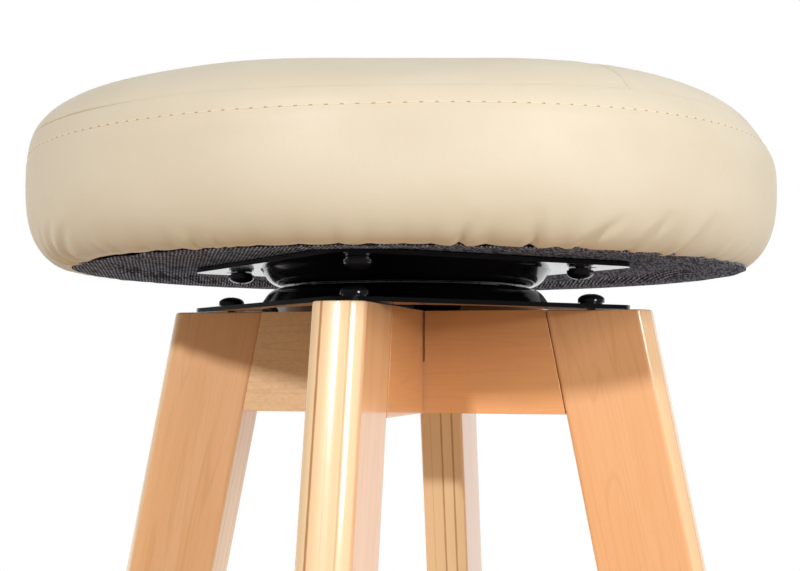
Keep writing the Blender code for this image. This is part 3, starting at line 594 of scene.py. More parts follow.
# Glides: hard nylon discs with a rounded rim, each moulded round a nail that is driven into the middle of
# a leg's lower end. A shallow well in the sole covers the nail's head.
GLIDE_HEIGHT = 0.005
GLIDE_TOP_EASE = 0.0006
GLIDE_ROUND = 0.0018
GLIDE_ROUND_STEPS = 4
NAIL_RADIUS = 0.0015
NAIL_WELL = 0.0032
NAIL_WELL_EASE = 0.0004
NAIL_WELL_DEPTHS = (0.0012, 0.0014)  # beside the wall and in the middle
glide_low, glide_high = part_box("glide_right")
glide_radius = (glide_high.y - glide_low.y) / 2
glide_centre = (glide_low.x + glide_high.x) / 2
nylon, shader, place = new_finish("glide_nylon", {"Subsurface Weight": 0.15, "Subsurface Scale": 0.002})
scuffs = cloudy(place, (0.9, 0.9, 0.9), 4.0)
mix(fade(scuffs, 0.45, 0.75), srgb(232, 229, 220), srgb(196, 190, 178)).feed(shader, "Base Color")
(scuffs * 0.3 + 0.3).feed(shader, "Roughness")
bump(scuffs, 0.15, 0.0002).feed(shader, "Normal")
rim_middle = (glide_radius - GLIDE_ROUND, GLIDE_ROUND)
rim = arc(rim_middle, (GLIDE_ROUND, GLIDE_ROUND), 0.0, -math.pi / 2, GLIDE_ROUND_STEPS)
glide = turn_on_lathe(
    "glide_pattern",
    [
        (0.0, glide_high.z),
        (NAIL_RADIUS, glide_high.z - 2 * NAIL_RADIUS),
        (NAIL_RADIUS, GLIDE_HEIGHT),
        (glide_radius - GLIDE_TOP_EASE, GLIDE_HEIGHT),
        (glide_radius, GLIDE_HEIGHT - GLIDE_TOP_EASE),
        *rim,
        (NAIL_WELL + NAIL_WELL_EASE, 0.0),
        (NAIL_WELL, NAIL_WELL_EASE),
        (NAIL_WELL - NAIL_WELL_EASE, NAIL_WELL_DEPTHS[0]),
        (0.0, NAIL_WELL_DEPTHS[1]),
    ],
    48,
)
even_shading(glide)
for side in LEG_SIDES:
    place_under = turned_to(side) @ Matrix.Translation((glide_centre, 0.0, 0.0))
    foot = copied(glide, f"nylon_glide_{side}", place_under)
    fit(foot, nylon, "base", "white_nylon", f"glide_{side}")
bpy.data.objects.remove(glide)


# Swivel plates: two pressings of black enamelled steel sheet, alike. Each has a square flange with slotted
# corners over the legs, and a round dish whose ball groove faces the other plate's.
PLATE_SHEET = 0.0022
PLATE_CORNER_ROUND = 0.010
PLATE_EDGE_EASE = 0.0009
DISH_RADIUS = 0.0640
DISH_ROUND = 0.0100  # round of the dish's upper rim
DISH_FOOT_ROUND = 0.0014
DISH_WALL = math.radians(55.0)
DISH_STEPS = (5, 9, 8)  # faces along the foot's round, the rim's round and half the groove
GROOVE_HALF_WIDTH = 0.0045
GROOVE_DEPTH = 0.00305
GROOVE_CIRCLE = 0.0520
RIVET_HOLE = 0.0123
SLOT_WIDTH = 0.0060
SLOT_CUT_DEPTH = 0.010
PLATE_SHARP = math.radians(50.0)
PLATE_STEPS = 288
lower_low, lower_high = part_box("lower_swivel_plate")
upper_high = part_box("upper_swivel_plate")[1]
plate_height = lower_high.z - lower_low.z
plate_tip = lower_high.x
plate_half = (plate_tip + PLATE_CORNER_ROUND * (math.sqrt(2) - 1)) / math.sqrt(2)
leg_screw_circle = sum(corner.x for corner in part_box("leg_screw_right")) / 2
seat_screw_circle = sum(corner.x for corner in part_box("seat_screw_right")) / 2
slot_middle = (leg_screw_circle + seat_screw_circle) / 2
slot_reach = (leg_screw_circle - seat_screw_circle) / 2


def dish_profile():
    """Upper side of the pressing from the flange, up the wall, over its round and the groove to the hole."""
    wall_top = plate_height - DISH_ROUND * (1 - math.cos(DISH_WALL))
    wall_foot = PLATE_SHEET + DISH_FOOT_ROUND * (1 - math.cos(DISH_WALL))
    wall_radius = DISH_RADIUS + DISH_ROUND * math.sin(DISH_WALL)
    foot_radius = wall_radius + (wall_top - wall_foot) / math.tan(DISH_WALL)
    foot_steps, rim_steps, groove_steps = DISH_STEPS
    foot_middle = (foot_radius + DISH_FOOT_ROUND * math.sin(DISH_WALL), PLATE_SHEET + DISH_FOOT_ROUND)
    down, up = -math.pi / 2, math.pi / 2
    foot = arc(foot_middle, (DISH_FOOT_ROUND, DISH_FOOT_ROUND), down, down - DISH_WALL, foot_steps)
    rim_middle = (DISH_RADIUS, plate_height - DISH_ROUND)
    rim = arc(rim_middle, (DISH_ROUND, DISH_ROUND), up - DISH_WALL, up, rim_steps)
    groove = []
    for number in range(-groove_steps, groove_steps + 1):
        share = number / groove_steps
        dip = 0.5 + 0.5 * math.cos(math.pi * share)
        groove.append((GROOVE_CIRCLE - GROOVE_HALF_WIDTH * share, plate_height - GROOVE_DEPTH * dip))
    return [*foot, *rim, *groove, (RIVET_HOLE, plate_height)]


enamel, shader, place = new_finish("black_plate_enamel", {"Specular IOR Level": 0.6, "Coat Weight": 0.3})
orange_peel = cloudy(place, (0.45, 0.45, 0.45), 2.0)
smears = cloudy(place, (0.06, 0.06, 0.06), 4.0)
mix(smears, srgb(13, 14, 18), srgb(20, 20, 25)).feed(shader, "Base Color")
(smears * 0.12 + 0.08).feed(shader, "Roughness")
bump(orange_peel, 0.05, 0.0004).feed(shader, "Normal")


def flange_reach(turn):
    """Distance from the axis to the square flange's edge, with its rounded corners on the axes."""
    ahead = Vector((abs(math.cos(turn - math.pi / 4)), abs(math.sin(turn - math.pi / 4))))
    straight = plate_half / max(ahead)
    corner = plate_half - PLATE_CORNER_ROUND
    if straight * min(ahead) <= corner:
        return straight
    along = corner * (ahead.x + ahead.y)
    return along + math.sqrt(along**2 - 2 * corner**2 + PLATE_CORNER_ROUND**2)


pressing = turn_on_lathe("plate_pattern", dish_profile(), PLATE_STEPS)
bpy.ops.object.mode_set(mode="EDIT")
pick("EDGE", lambda middle, part: len(part.link_faces) == 1 and middle.xy.length > DISH_RADIUS)
bpy.ops.mesh.extrude_region_move()
shape = bmesh.from_edit_mesh(pressing.data)
for rim in [corner for corner in shape.verts if corner.select]:
    reach = flange_reach(math.atan2(rim.co.y, rim.co.x))
    rim.co = rim.co.xy.normalized().to_3d() * reach + Vector((0.0, 0.0, PLATE_SHEET))
bmesh.update_edit_mesh(pressing.data)
bpy.ops.mesh.select_all(action="SELECT")
bpy.ops.mesh.normals_make_consistent(inside=False)
flange = max(shape.faces, key=lambda face: face.calc_center_median().xy.length)
if flange.normal.z < 0:
    bpy.ops.mesh.flip_normals()
bpy.ops.object.mode_set(mode="OBJECT")
work(pressing, "SOLIDIFY", thickness=PLATE_SHEET, offset=-1.0, use_even_offset=True)
for side in LEG_SIDES:
    slot = begin(
        "slot_cutter",
        bpy.ops.mesh.primitive_cylinder_add,
        vertices=32,
        radius=SLOT_WIDTH / 2,
        depth=SLOT_CUT_DEPTH,
        location=(slot_middle, 0.0, PLATE_SHEET / 2),
    )
    for end in (-1.0, 1.0):
        pick("VERT", lambda middle, part: (middle.x - slot_middle) * end > NEAR)
        bpy.ops.transform.translate(value=(end * slot_reach, 0.0, 0.0))
    close(slot)
    slot.data.transform(turned_to(side))
    carve(pressing, slot)
work(pressing, "BEVEL", width=PLATE_EDGE_EASE, segments=3, limit_method="ANGLE", angle_limit=PLATE_SHARP)
even_shading(pressing)
lower_plate = copied(pressing, "lower_plate_pressing", Matrix.Translation((0.0, 0.0, lower_low.z)))
fit(lower_plate, enamel, "base", "black_enamel", "lower_swivel_plate")
turned_over = Matrix.Translation((0.0, 0.0, upper_high.z)) @ Matrix.Rotation(math.pi, 4, "X")
upper_plate = copied(pressing, "upper_plate_pressing", turned_over)
fit(upper_plate, enamel, "seat", "black_enamel", "upper_swivel_plate")
bpy.data.objects.remove(pressing)


# Balls, retainer and rivet: twelve steel balls in a flat steel ring run in the groove between the plates,
# and a hollow rivet through both plates holds them together. The balls and the ring are hidden and keep
# their shape from the frame.
BALL_COUNT = 12
RIVET_RADIUS = 0.012
RIVET_BORE = 0.010
RIVET_SHEET = 0.0015
RIVET_EASE = 0.0005
for number in range(BALL_COUNT):
    refinish(f"bearing_ball_{number + 1:02d}", steel)
refinish("ball_retainer", steel)
rivet_low, rivet_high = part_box("swivel_rivet")
zinc, shader, place = new_finish("black_zinc", {"Metallic": 0.75})
scuffs = cloudy(place, (1.2, 1.2, 1.2), 4.0)
mix(scuffs, srgb(66, 68, 74), srgb(98, 100, 108)).feed(shader, "Base Color")
(scuffs * 0.12 + 0.08).feed(shader, "Roughness")
bump(scuffs, 0.06, 0.0001).feed(shader, "Normal")
rivet = turn_on_lathe(
    "hollow_rivet",
    [
        (RIVET_BORE, rivet_high.z - RIVET_EASE),
        (RIVET_BORE + RIVET_EASE, rivet_high.z),
        (rivet_high.x - RIVET_EASE, rivet_high.z),
        (rivet_high.x, rivet_high.z - RIVET_EASE),
        (rivet_high.x, rivet_high.z - RIVET_SHEET),
        (RIVET_RADIUS, rivet_high.z - RIVET_SHEET),
        (RIVET_RADIUS, rivet_low.z + RIVET_SHEET),
        (rivet_high.x, rivet_low.z + RIVET_SHEET),
        (rivet_high.x, rivet_low.z + RIVET_EASE),
        (rivet_high.x - RIVET_EASE, rivet_low.z),
        (RIVET_BORE + RIVET_EASE, rivet_low.z),
        (RIVET_BORE, rivet_low.z + RIVET_EASE),
        (RIVET_BORE, rivet_high.z - RIVET_EASE),
    ],
    64,
)
even_shading(rivet)
fit(rivet, zinc, "base", "black_zinc", "swivel_rivet")


# Plate screws: black pan-head screws with a cross recess, four down into the leg tops and four up into
# the seat board, each through the slot in a corner of its plate.
PAN_RADIUS = 0.0068
PAN_HEIGHT = 0.0046
PAN_RIM = 0.0014
PAN_SHANK = 0.0022
PAN_COLLAR = (0.0058, 0.0011)  # radius and height of the collar under the head
PAN_DOME_STEPS = 8
PAN_RECESS = (0.0068, 0.0016, 0.0026)
DRIVEN_FROM = 20.0  # turn at which the first screw stopped, and how much further each next one went
DRIVEN_STEP = 37.0


def pan_screw(name, length):
    """A screw whose head sits with its collar on level 0 and whose shank points down."""
    collar_radius, collar = PAN_COLLAR
    dome = (PAN_RADIUS, PAN_HEIGHT - PAN_RIM)
    crown = arc((0.0, collar + PAN_RIM), dome, math.pi / 2, 0.0, PAN_DOME_STEPS)
    under = [(PAN_RADIUS, collar), (collar_radius, collar), (collar_radius, 0.0)]
    shank = [(PAN_SHANK, 0.0), (PAN_SHANK, 2 * PAN_SHANK - length), (0.0, -length)]
    screw = turn_on_lathe(name, crown + under + shank, 48)
    cross_recess(screw, collar + PAN_HEIGHT, PAN_RECESS)
    even_shading(screw)
    return screw


leg_screw_low, leg_screw_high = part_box("leg_screw_right")
seat_screw_low, seat_screw_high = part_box("seat_screw_right")
leg_pattern = pan_screw("leg_screw_pattern", leg_screw_high.z - leg_screw_low.z - PAN_HEIGHT)
seat_pattern = pan_screw("seat_screw_pattern", seat_screw_high.z - seat_screw_low.z - PAN_HEIGHT)
for number, side in enumerate(LEG_SIDES):
    driven = Matrix.Rotation(math.radians(DRIVEN_FROM + DRIVEN_STEP * number), 4, "Z")
    down = Matrix.Translation((leg_screw_circle, 0.0, leg_screw_high.z - PAN_HEIGHT))
    screw = copied(leg_pattern, f"leg_pan_screw_{side}", turned_to(side) @ down @ driven)
    fit(screw, zinc, "base", "black_zinc", f"leg_screw_{side}")
    up = Matrix.Translation((seat_screw_circle, 0.0, seat_screw_low.z + PAN_HEIGHT))
    up = up @ Matrix.Rotation(math.pi, 4, "X")
    screw = copied(seat_pattern, f"seat_pan_screw_{side}", turned_to(side) @ up @ driven)
    fit(screw, zinc, "seat", "black_zinc", f"seat_screw_{side}")
bpy.data.objects.remove(leg_pattern)
bpy.data.objects.remove(seat_pattern)


# Seat board: a disc of plywood that the foam is glued on and the cover is stapled to. It is hidden, so the
# node stays as it is, in bare wood.
refinish("seat_board", bare_wood)


# Cover form: the leather skin as sewn, before it is cut up into its pieces below. It is a cloth that is
# pinned along its seams and hem and blown up from inside, as the foam does it, with slack at the hem that
# stands in gathers.
band_low, band_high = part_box("seat_side_band")
board_low, board_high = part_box("seat_board")
SEAT_RADIUS = band_high.x
ROLL_LEVEL = band_low.z
WIDEST_ABOVE_BOARD = 0.0377
ROLL_INSET = 0.020  # the roll at the foot of the band, the seam and the hem, from the widest place
SEAM_INSET = 0.0040
HEM_BELOW_BOARD = 0.0013
WIDEST_LEVEL = board_low.z + WIDEST_ABOVE_BOARD
ROLL_RADIUS = SEAT_RADIUS - ROLL_INSET
SEAM_RADIUS = SEAT_RADIUS - SEAM_INSET
HEM_RADIUS = 0.150
HEM_LEVEL = board_low.z - HEM_BELOW_BOARD
TUCK_SPREAD = 1.6  # the tuck under the roll reaches this much further in than it rises
POLE_RADIUS = 0.004  # round sheets begin at this distance from their middle
SHOULDER_RISE = 0.0428
CROWN_DOME = 0.0070
CROWN_FLATNESS = 6.1
SHOULDER_FULLNESS = 2.62
DOME_SOFTNESS = 3
SIDE_FLATNESS = 3.0
SIDE_FULLNESS = 1.75
FORM_COLUMNS = 288
CENTRE_ROWS = 46
BAND_ROWS = 40
FINER = 2  # the form is simulated coarse, and its pieces are cut from a grid this much finer
SEAM_AZIMUTHS = (45.0, 135.0, 225.0, 315.0)
SEAM_DIP = 0.0004
SEAM_SOFTNESS = 0.005
SEAM_FADE = 6
FRONT_TOWARDS = math.radians(284.0)
FRONT_LOWER = 0.0031  # the crown is sat lower towards the front
FRONT_NARROWNESS = 20
FRONT_RADII = (0.090, 0.160)  # where a change of the crown begins and is full
HIGHER_RADII = (0.090, 0.150)
SHOULDER_LEVELS = (WIDEST_LEVEL + 0.010, WIDEST_LEVEL + 0.034)
FULLER_TOWARDS = math.radians(193.8)
OFF_CENTRE = 0.0024  # the padding sits this much to its fuller side
FULLER_SHOULDER = 0.0018
FULLER_LEVEL = 0.024  # above the widest level
FULLER_SPREAD = 0.009
SHAVED_TOWARDS = math.radians(358.0)
SHAVED_SHOULDER = 0.0018  # the foam is trimmed off a little here
SHAVED_LEVEL = 0.017
SHAVED_SPREAD = 0.010
SHAVED_NARROWNESS = 6
HIGHER = ((324.0, 0.0014, 13), (228.0, 0.0010, 40))  # azimuth, rise and narrowness of fuller places
STRAIGHT_MARGIN = 0.004  # rows of the hem that lie further inside the roll stay on the seat's middle
SEWN_MARGIN = 0.003  # and those that the staples hold
SLACK_BELOW = 0.012  # the band is slack from here below the widest level, and fully so further down
SLACK_OVER = 0.022
SWELLING_CAP = 0.0020
SIMULATED_FRAMES = 18
LEATHER_CLOTH = {
    "quality": 6,
    "mass": 0.4,
    "tension_stiffness": 40.0,
    "compression_stiffness": 40.0,
    "shear_stiffness": 20.0,
    "bending_stiffness": 1.5,
    "air_damping": 4.0,
    "vertex_group_mass": "sewn",
    "vertex_group_shrink": "slack",
    "shrink_min": 0.0,
    "shrink_max": -0.03,
    "use_pressure": True,
    "uniform_pressure_force": 4.0,
}


def crown_level(radius):
    """Level of the cover's top, flat over the middle and falling off at the shoulder."""
    share = np.minimum(radius / SEAT_RADIUS, 1.0)
    shoulder = SHOULDER_RISE * (1 - share**CROWN_FLATNESS) ** (1 / SHOULDER_FULLNESS)
    return WIDEST_LEVEL + shoulder + CROWN_DOME * (1 - share**2) ** DOME_SOFTNESS


def side_radius(share):
    """Radius of the band from its widest place, share 0, to the roll, share 1."""
    bulge = np.maximum(1 - share**SIDE_FLATNESS, 0.0) ** (1 / SIDE_FULLNESS)
    return ROLL_RADIUS + (SEAT_RADIUS - ROLL_RADIUS) * bulge


def evenly(points, count):
    """Points spaced evenly along a line of points."""
    points = np.array(points)
    along = np.concatenate([[0.0], np.cumsum(np.linalg.norm(np.diff(points, axis=0), axis=1))])
    wanted = np.linspace(0.0, along[-1], count)
    return np.stack([np.interp(wanted, along, points[:, k]) for k in (0, 1)], axis=1)


def cover_profile():
    """(radius, level) from the middle of the crown over the seam and down to the hem."""
    inner = np.linspace(POLE_RADIUS, SEAM_RADIUS, 400)
    crown = np.stack([inner, crown_level(inner)], axis=1)
    lean = np.sin(np.linspace(0.0, math.pi / 2, 120))
    outer = SEAM_RADIUS + (SEAT_RADIUS - SEAM_RADIUS) * lean
    shoulder = np.stack([outer, crown_level(outer)], axis=1)
    share = np.sin(np.linspace(0.0, math.pi / 2, 300))
    side = np.stack([side_radius(share), WIDEST_LEVEL - (WIDEST_LEVEL - ROLL_LEVEL) * share], axis=1)
    turn = np.linspace(0.0, math.pi / 2, 30)[1:]
    fold = HEM_LEVEL - ROLL_LEVEL
    tuck_radius = ROLL_RADIUS - TUCK_SPREAD * fold * np.sin(turn)
    tuck = np.stack([tuck_radius, HEM_LEVEL - fold * np.cos(turn)], axis=1)
    hem = np.stack([np.linspace(tuck[-1, 0], HEM_RADIUS, 20), np.full(20, HEM_LEVEL)], axis=1)[1:]
    band = np.concatenate([shoulder, side[1:], tuck, hem])
    return np.concatenate([evenly(crown, CENTRE_ROWS), evenly(band, BAND_ROWS)[1:]])


def normals_of(grid):
    """Outward directions of a closed grid of points [row, column]."""
    down = np.gradient(grid, axis=0)
    around = (np.roll(grid, -1, axis=1) - np.roll(grid, 1, axis=1)) / 2
    normal = np.cross(down, around)
    return normal / np.maximum(np.linalg.norm(normal, axis=2, keepdims=True), 1e-12)


def from_seam(azimuth):
    """Angle to the nearest radial seam."""
    return np.abs(azimuth % (math.pi / 2) - math.pi / 4)


def smooth_step(value, start, end):
    """0 up to the start, 1 from the end, and smooth between them, for arrays."""
    share = np.clip((value - start) / (end - start), 0.0, 1.0)
    return share * share * (3 - 2 * share)


def bell(distance, width, flatness=2):
    """1 at a place and falling off with the distance from it."""
    return np.exp(-((distance / width) ** flatness))


def facing(turns, towards, narrowness=1):
    """1 at an azimuth and falling off to 0 at a right angle from it."""
    return np.maximum(np.cos(turns - towards), 0.0) ** narrowness


def around(reach, turns, levels):
    """Points round the seat's middle."""
    parts = np.broadcast_arrays(reach * np.cos(turns), reach * np.sin(turns), levels)
    return np.stack(parts, axis=-1)


profile = cover_profile()
azimuths = np.arange(FORM_COLUMNS) * 2 * math.pi / FORM_COLUMNS
radii, levels = profile[:, :1], profile[:, 1:]
grid = around(radii, azimuths, levels)
seam_distance = radii * np.sin(from_seam(azimuths))
seam_fade = np.clip(1 - (radii / SEAM_RADIUS) ** SEAM_FADE, 0.0, 1.0)
seam_fade[CENTRE_ROWS:] = 0.0
grid[:, :, 2] -= SEAM_DIP * seam_fade * bell(seam_distance, SEAM_SOFTNESS)
above_shoulder = smooth_step(levels, *SHOULDER_LEVELS)
sat_low = facing(azimuths, FRONT_TOWARDS, FRONT_NARROWNESS) * smooth_step(radii, *FRONT_RADII)
grid[:, :, 2] -= FRONT_LOWER * sat_low * above_shoulder
for towards, rise, narrowness in HIGHER:
    fuller = facing(azimuths, math.radians(towards), narrowness) * smooth_step(radii, *HIGHER_RADII)
    grid[:, :, 2] += rise * fuller * above_shoulder
fullness = bell(levels - WIDEST_LEVEL - FULLER_LEVEL, FULLER_SPREAD)
fullness = FULLER_SHOULDER * fullness * np.cos(azimuths - FULLER_TOWARDS)
shaved = bell(levels - WIDEST_LEVEL - SHAVED_LEVEL, SHAVED_SPREAD)
shaved = shaved * facing(azimuths, SHAVED_TOWARDS, SHAVED_NARROWNESS)
grid += normals_of(grid) * (fullness - SHAVED_SHOULDER * shaved)[:, :, None]
outer_rows = (np.arange(len(profile)) < CENTRE_ROWS) | (profile[:, 0] > ROLL_RADIUS - STRAIGHT_MARGIN)
grid[outer_rows, :, 0] += OFF_CENTRE * math.cos(FULLER_TOWARDS)
grid[outer_rows, :, 1] += OFF_CENTRE * math.sin(FULLER_TOWARDS)


def grid_mesh(name, points, closed):
    """A mesh of quads through points [row, column]. A closed grid joins its last column to its first."""
    rows, columns = points.shape[:2]
    spans = columns if closed else columns - 1
    faces = []
    for row in range(rows - 1):
        for column in range(spans):
            after = (column + 1) % columns
            top, below = row * columns, (row + 1) * columns
            faces.append((top + column, below + column, below + after, top + after))
    mesh = bpy.data.meshes.new(name)
    mesh.from_pydata(points.reshape(-1, 3).tolist(), [], faces)
    piece = bpy.data.objects.new(name, mesh)
    bpy.context.scene.collection.objects.link(piece)
    return piece


def blown_up(grid):
    """The grid as a pinned cloth under pressure, let in again by what each row swells on average."""
    form = grid_mesh("cover_form", grid, True)
    columns = np.arange(FORM_COLUMNS)
    on_seam = np.isin(columns, [round(azimuth / 360.0 * FORM_COLUMNS) for azimuth in SEAM_AZIMUTHS])
    sewn = np.zeros(grid.shape[:2], bool)
    sewn[:CENTRE_ROWS] |= on_seam
    sewn[0] = True
    sewn[CENTRE_ROWS - 1] = True
    hem_rows = np.arange(len(profile)) > CENTRE_ROWS
    hem_rows &= profile[:, 0] < ROLL_RADIUS - SEWN_MARGIN
    sewn[hem_rows] = True
    pins = form.vertex_groups.new(name="sewn")
    pins.add(np.flatnonzero(sewn).tolist(), 1.0, "REPLACE")
    slack = form.vertex_groups.new(name="slack")
    for row in range(CENTRE_ROWS, len(profile)):
        below = WIDEST_LEVEL - SLACK_BELOW - profile[row, 1]
        weight = float(np.clip(below / SLACK_OVER, 0.0, 1.0))
        slack.add((row * FORM_COLUMNS + columns).tolist(), weight, "REPLACE")
    cloth = form.modifiers.new("leather", "CLOTH")
    for name, value in LEATHER_CLOTH.items():
        setattr(cloth.settings, name, value)
    cloth.settings.effector_weights.gravity = 0.0
    cloth.collision_settings.use_collision = False
    for number in range(1, SIMULATED_FRAMES + 1):
        bpy.context.scene.frame_set(number)
    graph = bpy.context.evaluated_depsgraph_get()
    swollen = np.empty(grid.size)
    form.evaluated_get(graph).data.vertices.foreach_get("co", swollen)
    bpy.context.scene.frame_set(1)
    bpy.data.objects.remove(form)
    outwards = normals_of(grid)
    swelling = ((swollen.reshape(grid.shape) - grid) * outwards).sum(axis=2)
    swelling -= swelling.mean(axis=1, keepdims=True)
    return grid + outwards * np.clip(swelling, -SWELLING_CAP, SWELLING_CAP)[:, :, None]


def finer_rows(field):
    """Rows of a field at FINER times as many places, on cubics through its rows."""
    padded = np.concatenate([2 * field[:1] - field[1:2], field, 2 * field[-1:] - field[-2:-1]])
    wanted = np.arange((len(field) - 1) * FINER + 1) / FINER
    row = np.minimum(np.floor(wanted).astype(int), len(field) - 2)
    share = (wanted - row)[(...,) + (None,) * (field.ndim - 1)]
    before, start, end, after = (padded[row + k] for k in range(4))
    slope_in, slope_out = (end - before) / 2, (after - start) / 2
    bend = 2 * (start - end) + slope_in + slope_out
    return start + share * (slope_in + share * (3 * (end - start) - 2 * slope_in - slope_out + share * bend))


def finer_columns(field):
    """The same along the columns, which go round."""
    around = np.concatenate([field[:, -2:], field, field[:, :3]], axis=1).swapaxes(0, 1)
    return finer_rows(around)[2 * FINER : (2 + field.shape[1]) * FINER].swapaxes(0, 1)


grid = blown_up(grid)
grid = finer_columns(finer_rows(grid))
profile = finer_rows(profile)
COVER_COLUMNS = FORM_COLUMNS * FINER
seam_row = (CENTRE_ROWS - 1) * FINER
azimuths = np.arange(COVER_COLUMNS) * 2 * math.pi / COVER_COLUMNS
row_length = np.linalg.norm(profile[seam_row + 2] - profile[seam_row + 1])

# Gathers: the band's slack at the roll stands in scallops between pinches
PINCHES_APART = (0.010, 0.020)
SCALLOP_DEPTH = (0.0004, 0.0013)
SCALLOP_RISE = 0.0065  # level above the roll at which the scallops fade out
SCALLOP_SUNK = 0.7  # share of a scallop's depth by which its pinches lie inside the plain band
GATHER_MARGIN = 0.006
chance = np.random.default_rng(11)
pinches = [0.0]
while pinches[-1] < 2 * math.pi * ROLL_RADIUS - PINCHES_APART[1]:
    pinches.append(pinches[-1] + chance.uniform(*PINCHES_APART))
pinches = np.array([*pinches, 2 * math.pi * ROLL_RADIUS])
depths = chance.uniform(*SCALLOP_DEPTH, len(pinches) - 1)
scallop = np.searchsorted(pinches, azimuths * ROLL_RADIUS, side="right") - 1
share = (azimuths * ROLL_RADIUS - pinches[scallop]) / (pinches[scallop + 1] - pinches[scallop])
swell = depths[scallop] * (np.sqrt(np.abs(np.sin(math.pi * share))) - SCALLOP_SUNK)
below = np.where(np.arange(len(profile)) > seam_row, profile[:, 1] - ROLL_LEVEL, 1.0)
gathered = bell(below, SCALLOP_RISE) * (profile[:, 0] > ROLL_RADIUS - GATHER_MARGIN)
grid += normals_of(grid) * (gathered[:, None] * swell)[:, :, None]

# Creases: single folds that the photograph shows, as (azimuth, level) of both ends, depth and width
CREASES = (
    ((221.0, 0.6585), (216.0, 0.6462), 0.0026, 0.0030),
    ((226.0, 0.6600), (219.5, 0.6462), 0.0030, 0.0032),
    ((231.0, 0.6575), (224.0, 0.6462), 0.0025, 0.0030),
    ((255.6, 0.6500), (255.0, 0.6460), 0.0018, 0.0025),
    ((258.9, 0.6495), (258.7, 0.6460), 0.0016, 0.0022),
    ((320.6, 0.6580), (317.8, 0.6462), 0.0026, 0.0030),
    ((330.0, 0.6590), (327.2, 0.6462), 0.0030, 0.0032),
    ((313.0, 0.6560), (309.0, 0.6462), 0.0022, 0.0028),
    ((301.0, 0.6560), (302.0, 0.6462), 0.0020, 0.0030),
    ((293.0, 0.6540), (292.0, 0.6462), 0.0018, 0.0028),
)
CREASE_RIDGE = 0.6  # height of the ridges beside a crease, as a share of its depth, and their reach
CREASE_RIDGE_REACH = 2.2
CREASE_START = 0.25  # share of its depth that a crease has at its upper end
spots = np.stack(np.broadcast_arrays(SEAT_RADIUS * azimuths[None, :], grid[:, :, 2]), axis=2)
for start, end, depth, width in CREASES:
    first = np.array([SEAT_RADIUS * math.radians(start[0]), start[1]])
    last = np.array([SEAT_RADIUS * math.radians(end[0]), end[1]])
    run = last - first
    share = np.clip(((spots - first) @ run) / (run @ run), 0.0, 1.0)
    apart = np.linalg.norm(spots - first - share[:, :, None] * run, axis=2) / width
    valley = CREASE_RIDGE * bell(apart, CREASE_RIDGE_REACH) - bell(apart, 1.0)
    valley *= CREASE_START + (1 - CREASE_START) * share
    valley *= (np.arange(len(profile)) > seam_row)[:, None]
    grid += normals_of(grid) * (depth * valley)[:, :, None]
normals = normals_of(grid)

# The seam and the topstitching rise towards the right and fall a little to the left
SEAM_RISE = 0.0038
SEAM_RISE_TOWARDS = math.radians(10.0)
SEAM_FALL = 0.0014
SEAM_FALL_TOWARDS = math.radians(225.0)
DRAWN_FROM = 0.4  # share of the crown's rows at which the panels begin to follow the seam
DRAWN_ROWS = (12, 40)  # rows of the band over which it stops following


def drawn(rows, columns):
    """Rows moved along the cover so that the seam runs as it was sewn, a little off level."""
    turn = columns * 2 * math.pi / COVER_COLUMNS
    fall = SEAM_FALL * facing(turn, SEAM_FALL_TOWARDS)
    rise = SEAM_RISE * facing(turn, SEAM_RISE_TOWARDS)
    near = np.where(rows < seam_row, smooth_step(rows, DRAWN_FROM * seam_row, seam_row), 1.0)
    near = near * (1 - smooth_step(rows, seam_row + DRAWN_ROWS[0], seam_row + DRAWN_ROWS[1]))
    return rows + near * (fall - rise) / row_length


STITCH_BELOW_SEAM = 0.0080
STITCH_DIP = 0.0003  # the thread draws the leather in
STITCH_DIP_WIDTH = 0.0022
stitch_row = seam_row + STITCH_BELOW_SEAM / row_length


def on_cover(rows, columns, sink):
    """Points of the cover at whole or part rows and columns, sunk below its surface."""
    sink = sink + STITCH_DIP * bell((rows - stitch_row) * row_length, STITCH_DIP_WIDTH)
    rows = np.clip(drawn(rows, columns), 0, len(profile) - 1.000001)
    row = np.floor(rows).astype(int)
    column = np.floor(columns).astype(int)
    down, over = (rows - row)[..., None], (columns - column)[..., None]
    points = 0.0
    for field, weight in ((grid, 1.0), (normals, -sink[..., None])):
        first = field[row, column % COVER_COLUMNS] * (1 - over)
        first = first + field[row, (column + 1) % COVER_COLUMNS] * over
        second = field[row + 1, column % COVER_COLUMNS] * (1 - over)
        second = second + field[row + 1, (column + 1) % COVER_COLUMNS] * over
        points = points + weight * (first * (1 - down) + second * down)
    return points


# Foam: one block of pale seat foam, glued on the board and shaped as the cover draws it in. It is hidden
# under the leather.
FOAM_CLEARANCE = 0.0030
POCKET_CLEARANCE = 0.0006
FOAM_STEP = 6  # rows and columns of the cover from one of the foam's to the next, and down the side
FOAM_SIDE_STEP = 4
FOAM_SIDE_ROWS = 36
foam_side = np.arange(seam_row, seam_row + FOAM_SIDE_ROWS, FOAM_SIDE_STEP)
foam_rows = np.concatenate([np.arange(0, seam_row, FOAM_STEP), foam_side])
foam_columns = np.arange(0, COVER_COLUMNS, FOAM_STEP)
rows, columns = np.meshgrid(foam_rows.astype(float), foam_columns.astype(float), indexing="ij")
skin = on_cover(rows, columns, np.full(rows.shape, FOAM_CLEARANCE))
pocket_radius = board_high.x + POCKET_CLEARANCE
pocket_top = board_high.z + POCKET_CLEARANCE
turns = columns[0] * 2 * math.pi / COVER_COLUMNS
under = [
    around(pocket_radius, turns, skin[-1, :, 2].mean()),
    around(pocket_radius, turns, pocket_top),
    around(pocket_radius / 2, turns, pocket_top),
    around(POLE_RADIUS, turns, pocket_top),
]
middle_top = np.repeat(skin[:1].mean(axis=1, keepdims=True), skin.shape[1], axis=1)
middle_under = np.repeat(np.array(under[-1:]).mean(axis=1, keepdims=True), skin.shape[1], axis=1)
